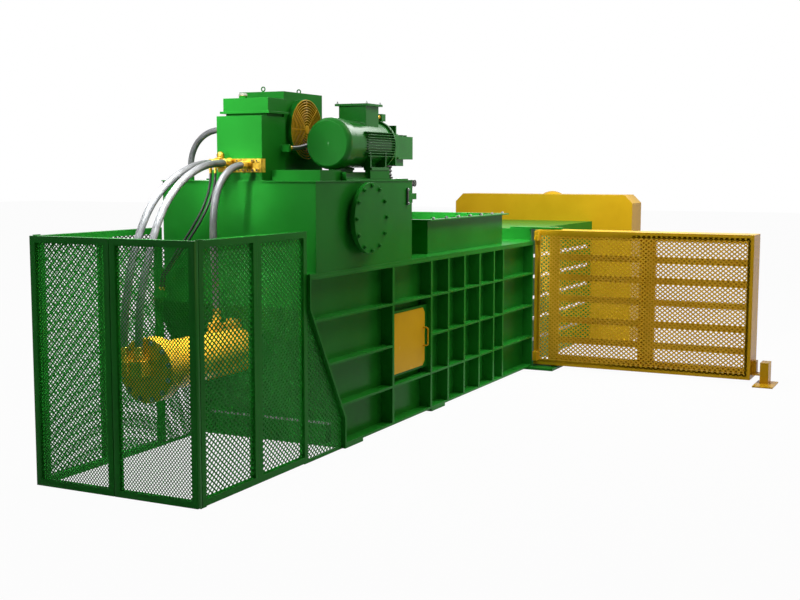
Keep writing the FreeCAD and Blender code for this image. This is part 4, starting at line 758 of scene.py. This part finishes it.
# ---- expanded mesh
@dataclass(frozen=True)
class ExpandedMesh:
    """Expanded metal: diamonds of one size with flat strands."""

    long_mm: float  # long way of the diamond, centre to centre
    short_mm: float
    strand_mm: float
    thick_mm: float

    def sheet(self, name: str, size_u: float, size_v: float) -> Shape:
        """Make a sheet in the XZ plane from the origin, trimmed to a rectangle.

        Args:
            name: Its name.
            size_u: Width along X, in metres.
            size_v: Height along Z, in metres.

        Returns:
            The sheet, its thickness along +Y.
        """
        w, h = self.long_mm * MM, self.short_mm * MM
        cell = self._cell(name, w, h)
        for count, offset in ((int(size_u / w) + 2, (w, 0, 0)), (int(size_v / h) + 2, (0, 0, h))):
            cell.modify("ARRAY", count=count, use_relative_offset=False, use_constant_offset=True,
                        constant_offset_displace=offset, use_merge_vertices=True, merge_threshold=MERGE)
        for place, normal in ((ORIGIN, REAR), ((size_u, 0, 0), (1, 0, 0)), (ORIGIN, (0, 0, -1)),
                              ((0, 0, size_v), UP)):
            cell.edit(lambda face: True)
            bpy.ops.mesh.bisect(plane_co=place, plane_no=normal, clear_outer=True)
            cell.done()
        return cell.modify("SOLIDIFY", thickness=self.thick_mm * MM, offset=1.0)

    def _cell(self, name: str, w: float, h: float) -> Shape:
        """Make two staggered diamond frames, the pattern's smallest repeat.

        Args:
            name: Its name.
            w: Width of a diamond, in metres.
            h: Its height.

        Returns:
            The two frames as one shape.
        """
        diamonds = []
        for number, (u, v) in enumerate(((0.0, 0.0), (w / 2, h / 2))):
            deselect()
            bpy.ops.mesh.primitive_circle_add(vertices=4, radius=0.5, fill_type="NGON",
                                              location=(u, 0, v), rotation=(radians(90), 0, 0))
            ring = Shape._started("%s_cell_%d" % (name, number))
            ring.moved(shift((u, 0, v)) @ Matrix.Diagonal((w, 1, h, 1)) @ shift((-u, 0, -v)))
            ring.edit(lambda face: True).inset(self.strand_mm * MM / 2)
            bpy.ops.mesh.delete(type="FACE")
            ring.done()
            diamonds.append(ring)
        cell = joined(name, diamonds)
        cell.edit(lambda face: True)
        bpy.ops.mesh.remove_doubles(threshold=MERGE)
        return cell.done()


# ---- cage
@dataclass
class GuardCage:
    """Mesh cage round the main cylinder: two welded side frames and two hinged leaves."""

    rear: float = -3.850
    half: float = 0.704
    height: float = 1.800
    bar: float = 0.048
    gap: float = 0.004
    split: float = -3.094
    body_rear: float = -2.405
    floor_gap: float = 0.006
    lap: float = 0.004  # of the mesh into its bars
    infill_low: float = 0.020
    infill_top: float = 1.160
    slant_rear: float = 1.188  # height of the body's slanted edge at its rear end
    slant_square: Point = (0.946, 0.0, 0.553)  # square to that edge
    leaf_mesh: ExpandedMesh = ExpandedMesh(25.7, 29.2, 6.0, 2.0)
    side_mesh: ExpandedMesh = ExpandedMesh(50.0, 41.0, 10.5, 3.0)

    def build(self) -> None:
        """Make the cage's pieces."""
        self.sides()
        self.leaf(-1)
        self.leaf(1)

    @property
    def heights(self) -> tuple[float, float]:
        """The lower and the upper edge of the mesh in its frame."""
        return self.floor_gap + self.bar - self.lap, self.height - self.bar + self.lap

    def panel(self, name: str, x0: float, x1: float) -> Shape:
        """Make a mesh panel of the near side.

        Args:
            name: Its name.
            x0: Where it starts along X.
            x1: Where it ends.

        Returns:
            The panel.
        """
        z0, z1 = self.heights
        sheet = self.side_mesh.sheet(name, x1 - x0, z1 - z0)
        return sheet.moved(shift((x0, -self.half + self.bar / 2, z0)))

    def sides(self) -> None:
        """Mesh of both sides."""
        b = self.bar - self.lap
        x0 = self.rear + self.bar + self.gap
        spans = ((x0 + b, self.split - self.gap / 2 - b), (self.split + b, self.body_rear - b))
        panels = [self.panel("side_mesh_%d" % n, *span) for n, span in enumerate(spans)]
        panels.append(self.infill())
        near, far = joined("cage_mesh", panels).copied([Matrix.Identity(4)] * 2)
        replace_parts(near.named("cage_mesh_near").dress(Finish.GREEN_MESH), "cage_side_mesh")
        far.mirrored().named("cage_mesh_far").dress(Finish.GREEN_MESH)

    def infill(self) -> Shape:
        """Mesh of the near infill between the cage and the body's slanted edge.

        Returns:
            The trimmed panel.
        """
        _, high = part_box("cage_side_mesh")
        ahead, inward = 0.008, 0.010
        x0, x1 = self.body_rear + ahead, high.x + self.lap
        sheet = self.side_mesh.sheet("side_mesh_infill", x1 - x0, self.infill_top - self.infill_low)
        sheet.moved(shift((x0, -self.half + inward, self.infill_low))).edit(lambda face: True)
        bpy.ops.mesh.bisect(plane_co=(self.body_rear, 0, self.slant_rear),
                            plane_no=Vector(self.slant_square).normalized(), clear_outer=True, use_fill=True)
        return sheet.done()

    def leaf(self, side: int) -> None:
        """Make one rear leaf: a tube frame with its mesh.

        Args:
            side: -1 for the near leaf, 1 for the far one.
        """
        name = "near" if side < 0 else "far"
        x0, x1 = self.rear, self.rear + self.bar
        y0, y1 = -self.half, -self.gap / 2
        tubes = Shape.block("leaf_" + name, (x0, y0, self.floor_gap), (x1, y1, self.height))
        tubes.edit(lambda face: abs(face.normal.x) > 0.9).inset(self.bar)
        bpy.ops.mesh.bridge_edge_loops()
        tubes.done().round_edges(0.003)
        z0, z1 = self.heights
        width = (y1 - y0) - 2 * self.bar + 2 * self.lap
        sheet = self.leaf_mesh.sheet("leaf_mesh_" + name, width, z1 - z0)
        sheet.moved(shift((x0 + self.bar / 2, y0 + self.bar - self.lap, z0)) @ QUARTER)
        whole = joined("cage_leaf_" + name, [tubes, sheet])
        if side > 0:
            whole.mirrored()
        whole.dress(Finish.GREEN, "cage_leaf_" + name)
        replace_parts(whole.obj, "cage_door_" + name)


# ---- gate
@dataclass
class SwingGate:
    """Mesh and fittings of the gate over the tying section."""

    mesh: ExpandedMesh = ExpandedMesh(56.0, 46.0, 15.5, 3.0)
    rear: float = 2.670  # the rim's face towards the cage
    inner: float = 3.010  # the bars' face towards the rim
    tip: float = -3.175
    near: float = -0.735
    low: float = 0.045
    high: float = 1.594
    bare: float = 0.033  # width of the rim that the mesh leaves bare
    hook_heights: Point = (0.520, 1.012)
    hook_in: float = 0.124  # from the tip
    hook_thick: float = 0.012
    hook_half: float = 0.018  # half of the arm's height
    hook_span: Point = (-0.050, 0.085)  # the arm's straight part, from its middle
    hook_bends: Sequence[Point] = ((0, 0.020, 0.022), (0, 0.004, 0.030))
    hook_bolt: float = -0.028  # from the arm's middle
    flat_below: Point = (0.112, 0.068)  # the upper flat's edges, from the top
    web: Point = (-1.932, -1.924)  # the middle web's two faces
    web_depth: float = 0.235
    play: float = 0.006  # between a flat's end and the rim
    sunk: float = 0.002  # of a flat into the bars

    def build(self) -> None:
        """Make the gate's mesh and fittings."""
        self.screen()
        self.flats()
        self.hooks()

    def screen(self) -> None:
        """Mesh sheet, welded on the rim's face."""
        sheet = self.mesh.sheet("gate_expanded_mesh", self.near - self.tip - 2 * self.bare,
                                self.high - self.low - 2 * self.bare)
        sheet.moved(shift((self.rear, self.tip + self.bare, self.low + self.bare)) @ QUARTER)
        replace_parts(sheet.dress(Finish.YELLOW_MESH, "gate"), "gate_mesh")

    def flats(self) -> None:
        """Flat under the upper rail, and the middle post's deep web, both against the bars."""
        low, high = (self.high - below for below in self.flat_below)
        front = self.inner + self.sunk
        flat = Shape.block("gate_upper_flat", (self.inner - 0.008, self.tip + self.play, low),
                           (front, self.near - 0.060, high)).round_edges(0.002)
        web = Shape.block("gate_middle_web", (self.inner - self.web_depth, self.web[0], self.low + self.play),
                          (front, self.web[1], self.high - self.play)).round_edges(0.002)
        joined("gate_flats", [flat, web]).dress(Finish.YELLOW, "gate")

    def hooks(self) -> None:
        """Two latch hooks on the end post, each a bent flat with its bolt."""
        parts = []
        y, x = self.tip + self.hook_in, self.inner
        bolt = Bolts(12.0)
        front, (y0, y1) = x - self.hook_thick, self.hook_span
        for z in self.hook_heights:
            arm = Shape.block("latch_arm", (front, y + y0, z - self.hook_half), (x, y + y1, z + self.hook_half))
            arm.facing((0, 1, 0))
            for bend in self.hook_bends:
                arm.push(bend)
            arm.done().round_edges(0.002)
            parts += [arm, bolt.bolt("latch_bolt").moved(about((front, y + self.hook_bolt, z), REAR))]
        joined("gate_latches", parts).dress(Finish.YELLOW, "gate")


# ---- fasteners
def about(spot: Point, way: Point) -> Matrix:
    """Give the move that takes a piece standing up from the origin to a spot, standing along a way."""
    return shift(spot) @ Vector(way).to_track_quat("Z", "Y").to_matrix().to_4x4()


@dataclass
class Bolts:
    """Hexagon bolts on washers, with the tip of the thread showing in the flanges' nuts."""

    size: float = 20.0  # mm
    in_circle: int = 12
    in_row: int = 7
    manhole: Point = (-1.520, -0.802, 1.873)
    manhole_circle: float = 0.2675
    cap: Point = (-3.480, 0.0, 0.835)
    cap_circle: float = 0.2085
    hopper_from: float = 0.158  # first and last bolt of a flange, along X
    hopper_to: float = 1.980
    hopper_across: float = 0.597
    hopper_top: float = 1.800

    def build(self) -> None:
        """Make every row of bolts."""
        count = range(self.in_circle)
        manhole = [self.turn(self.manhole, self.manhole_circle, n, (1, 0, 0), NEAR) for n in count]
        cap = [self.turn(self.cap, self.cap_circle, n + 0.5, (0, 1, 0), REAR) for n in count]
        step = (self.hopper_to - self.hopper_from) / (self.in_row - 1)
        hopper = [about((self.hopper_from + step * n, side * self.hopper_across, self.hopper_top), UP)
                  for n in range(self.in_row) for side in (-1, 1)]
        rows = (("manhole_bolts", manhole, Finish.GREEN), ("cap_bolts", cap, Finish.BOLT),
                ("hopper_bolts", hopper, Finish.BOLT))
        for name, places, finish in rows:
            made = joined(name, self.bolt(name).copied(places)).dress(finish, smooth=CRISP)
            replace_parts(made, "hex_bolts")

    def turn(self, middle: Point, radius: float, number: float, across: Point, way: Point) -> Matrix:
        """Say where one bolt of a circle goes.

        Args:
            middle: The circle's middle.
            radius: The circle's radius.
            number: The bolt's number in its circle.
            across: Direction of the first radius.
            way: The bolts' direction.

        Returns:
            The move from the origin.
        """
        angle = 2 * pi * number / self.in_circle
        up = Vector(way).cross(Vector(across))
        return about(Vector(middle) + radius * (Vector(across) * cos(angle) + up * sin(angle)), way)

    def bolt(self, name: str) -> Shape:
        """Make one bolt at the origin, standing up: washer, chamfered head and thread tip.

        Args:
            name: Its name.

        Returns:
            The bolt.
        """
        k = self.size / 20
        forms = (("washer", 0, 20, ((0, 20), (2.4, 20), (3, 19), (3, 12))),
                 ("head", 0.002, 6, ((0, 17), (11, 17), (13, 15))),
                 ("tip", 0.004, 14, ((0, 9), (16, 9), (18, 7.5))))
        return joined(name, [Shape.spindle("%s_%s" % (name, form), (0, 0, z), UP,
                                           [(reach * k, radius * k) for reach, radius in steps], sides)
                             for form, z, sides, steps in forms])


# ---- oil tank
@dataclass
class OilTank:
    """Sight glass, dial gauges and filler breather of the tank and its cabinet."""

    gauge_x: float = -0.690
    wall: float = -0.722
    gauge_low: float = 1.960
    gauge_high: float = 2.108
    dials_x: Point = (-0.531, -0.471)
    dials_y: float = -0.662
    dials_z: float = 2.150
    breather: Point = (-2.000, 0.125, 2.835)

    def build(self) -> None:
        """Make the tank's fittings."""
        self.sight_glass()
        self.dials()
        self.filler()

    def sight_glass(self) -> None:
        """Level gauge: a slotted frame, the glass in it and the two bolts that hold it."""
        x, y, half, deep, end = self.gauge_x, self.wall, 0.012, 0.014, 0.014
        case = Shape.block("gauge_frame", (x - half, y - deep, self.gauge_low), (x + half, y, self.gauge_high))
        case.facing(NEAR).inset(0.003, -0.001).done().round_edges(0.0012)
        bolts = [Shape.spindle("gauge_bolt", (x, y - 0.010, z), NEAR,
                               ((0, 13), (8, 13), (10, 11), (10, 7), (19, 7), (20, 6)), 20)
                 for z in (self.gauge_low + end, self.gauge_high - end)]
        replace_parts(case.dress(Finish.PLASTIC), "level_gauge")
        joined("gauge_bolts", bolts).dress(Finish.BOLT, smooth=CRISP)
        half, end = 0.006, 0.030
        glass = Shape.block("gauge_glass", (x - half, y - 0.017, self.gauge_low + end),
                            (x + half, y - 0.010, self.gauge_high - end))
        glass.round_edges(0.003, 4).dress(Finish.GLASS)

    def dials(self) -> None:
        """Two deep-cased dial gauges that face the near side, with bezel, card, marks and needle."""
        cases, cards, marks = [], [], []
        for x in self.dials_x:
            start = (x, self.dials_y + 0.014, self.dials_z)
            cases.append(Shape.spindle("dial_case", start, NEAR,
                                       ((0, 22), (3, 22), (5, 28), (42, 28), (44, 31), (50, 31), (51, 30),
                                        (51, 27), (48, 26.5)), 36))
            cases.append(Shape.spindle("dial_socket", (x, self.dials_y, self.dials_z - 0.040), UP,
                                       ((0, 12), (8, 12), (9, 8), (16, 8)), 6))
            cards.append(Shape.spindle("dial_card", (x, self.dials_y - 0.033, self.dials_z), NEAR,
                                       ((0, 26.5), (1.2, 26.5), (1.6, 26)), 36))
            marks += self.marks(x)
        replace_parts(joined("dial_cases", cases).dress(Finish.PLASTIC, smooth=CRISP), "pressure_gauges")
        joined("dial_cards", cards).dress(Finish.DIAL, smooth=CRISP)
        joined("dial_marks", marks).dress(Finish.GUIDE, smooth=CRISP)

    def marks(self, x: float) -> list[Shape]:
        """Strokes and needle of one dial.

        Args:
            x: The dial's place along X.

        Returns:
            The strokes, the needle and its hub.
        """
        y, half = self.dials_y - 0.0346, 0.0008
        stroke = Shape.block("dial_stroke", (-half, -0.0006, 0.018), (half, 0.0, 0.024)).round_edges(0.0002)
        turns = [shift((x, y, self.dials_z)) @ Matrix.Rotation(radians(angle), 4, "Y")
                 for angle in range(-135, 136, 27)]
        needle = Shape.block("dial_needle", (x - half, y - 0.0022, self.dials_z - 0.006),
                             (x + half, y - 0.0012, self.dials_z + 0.019))
        needle.facing(UP)
        bpy.ops.transform.resize(value=(0.2, 1, 1), center_override=(x, y, self.dials_z))
        hub = Shape.spindle("dial_hub", (x, y, self.dials_z), NEAR, ((0, 3.5), (2.5, 3.5), (3, 2.5)), 12)
        return [*stroke.copied(turns), needle.done(), hub]

    def filler(self) -> None:
        """Breather on the cabinet's cap: a plated strainer neck under a ribbed pale lid."""
        neck = Shape.spindle("breather_neck", self.breather, UP,
                             ((0, 38), (5, 38), (6, 36), (6, 31), (24, 31), (26, 35), (29, 35), (29, 20)), 32)
        neck.dress(Finish.PLATED, smooth=CRISP)
        x, y, z = self.breather
        foot = (x, y, z + 0.028)
        lid = Shape.spindle("breather_lid", foot, UP, ((0, 34), (13, 34), (17, 31), (20, 24), (21, 12)), 32)
        grip = Shape.block("breather_grip", (-0.0018, 0.0325, 0.002), (0.0018, 0.0355, 0.013))
        places = [shift(foot) @ Matrix.Rotation(pi * n / 12, 4, "Z") for n in range(24)]
        ribs = grip.round_edges(0.0008).copied(places)
        joined("breather_lid", [lid, *ribs]).dress(Finish.GUIDE)


# ---- power pack
@dataclass
class PowerPack:
    """Finger guard of the cooler, the motor's terminal screws and the valve bank's plugs."""

    fan: Point = (-1.565, -0.2165, 2.600)
    guard_outer: float = 0.242
    guard_hub: float = 0.032
    guard_rings: int = 11
    wire: float = 0.0085
    lid: tuple[Point, Point] = ((-1.3165, -0.656, 2.822), (-1.0355, -0.344, 2.822))
    bank_rear: float = -2.310
    motor_y: float = -0.500
    rail_offset: float = 0.178
    rail_from: float = -1.772
    rail_to: float = -1.350
    rail_half: float = 0.025
    rail_height: float = 0.058
    pad_top: float = 2.192
    plugs_high: Point = (-0.208, -0.166, -0.066, -0.024, 0.086)
    plugs_low: Point = (-0.208, -0.166, -0.124, -0.082, -0.040, 0.002, 0.044, 0.086)
    plug_heights: Point = (2.336, 2.262)

    def build(self) -> None:
        """Make the power pack's details."""
        self.guard()
        self.rails()
        self.terminal_screws()
        self.plugs()

    def rails(self) -> None:
        """Two channels on the tank's top that join the cross beam and the motor's feet."""
        parts = []
        for y in (self.motor_y - self.rail_offset, self.motor_y + self.rail_offset):
            channel = Shape.block("motor_channel", (self.rail_from, y - self.rail_half, self.pad_top),
                                  (self.rail_to, y + self.rail_half, self.pad_top + self.rail_height))
            parts.append(channel.facing(NEAR).inset(0.007, -0.036).done().round_edges(0.002))
        joined("motor_channels", parts).dress(Finish.GREEN)

    def guard(self) -> None:
        """Finger guard: wire rings welded on radial wires, round a hub."""
        x, y, z = self.fan
        step = (self.guard_outer - self.guard_hub) / (self.guard_rings - 1)
        pieces = [Shape.ring("guard_ring", self.fan, (0, 1, 0), self.guard_hub + step * n, self.wire)
                  for n in range(self.guard_rings)]
        spoke = Shape.drum("guard_spoke", (0, 0, self.guard_hub), (0, 0, self.guard_outer - self.guard_hub),
                           self.wire / 2, 10).round_edges(0.001, 1)
        pieces += spoke.copied([shift((x, y + 0.003, z)) @ Matrix.Rotation(pi * n / 4, 4, "Y")
                                for n in range(8)])
        pieces.append(Shape.spindle("guard_hub", (x, y + 0.004, z), NEAR,
                                    ((0, 33), (6, 33), (8, 31), (9, 24)), 32))
        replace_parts(joined("fan_finger_guard", pieces).dress(Finish.YELLOW_MESH, smooth=50.0), "fan_guard")

    def terminal_screws(self) -> None:
        """Four hexagon screws in the corners of the terminal box's lid."""
        (x0, y0, z), (x1, y1, _) = self.lid
        edge = 0.017
        places = [about((x, y, z), UP) for x in (x0 + edge, x1 - edge) for y in (y0 + edge, y1 - edge)]
        screw = Shape.spindle("terminal_screw", ORIGIN, UP,
                              ((0, 13), (2, 13), (2, 9.5), (11, 9.5), (12, 8.5), (12, 5), (19, 5), (20, 4)), 6)
        joined("terminal_screws", screw.copied(places)).dress(Finish.BOLT, smooth=CRISP)

    def plugs(self) -> None:
        """Socket plugs in two rows on the valve bank's rear face, with dark inserts as painted shade in their
        sockets.
        """
        plug = Shape.spindle("bank_plug", ORIGIN, UP,
                             ((0, 17), (3, 17), (4, 14), (14, 14), (16, 12.5), (16, 7), (7, 6)), 16)
        places = [about((self.bank_rear, y, z), REAR)
                  for z, row in zip(self.plug_heights, (self.plugs_high, self.plugs_low)) for y in row]
        joined("bank_plugs", plug.copied(places)).dress(Finish.PLATED, smooth=CRISP)
        # Dark inserts fill the plugs' sockets: painted shade of the socket recesses.
        socket = Shape.spindle("painted_socket_shade", (0, 0, 0.010), UP,
                               ((0, 8), (6.5, 8), (7, 7.5), (7, 5), (3, 5)), 12)
        joined("painted_socket_shades", socket.copied(places)).dress(Finish.PLASTIC, smooth=CRISP)


def main() -> None:
    """Build the whole scene."""
    logging.basicConfig(level=logging.INFO, format="%(message)s")
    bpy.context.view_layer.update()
    Studio().build()
    Paintwork().apply()
    Hoses().build()
    GuardCage().build()
    SwingGate().build()
    Bolts().build()
    OilTank().build()
    PowerPack().build()


if __name__ == "__main__":
    main()
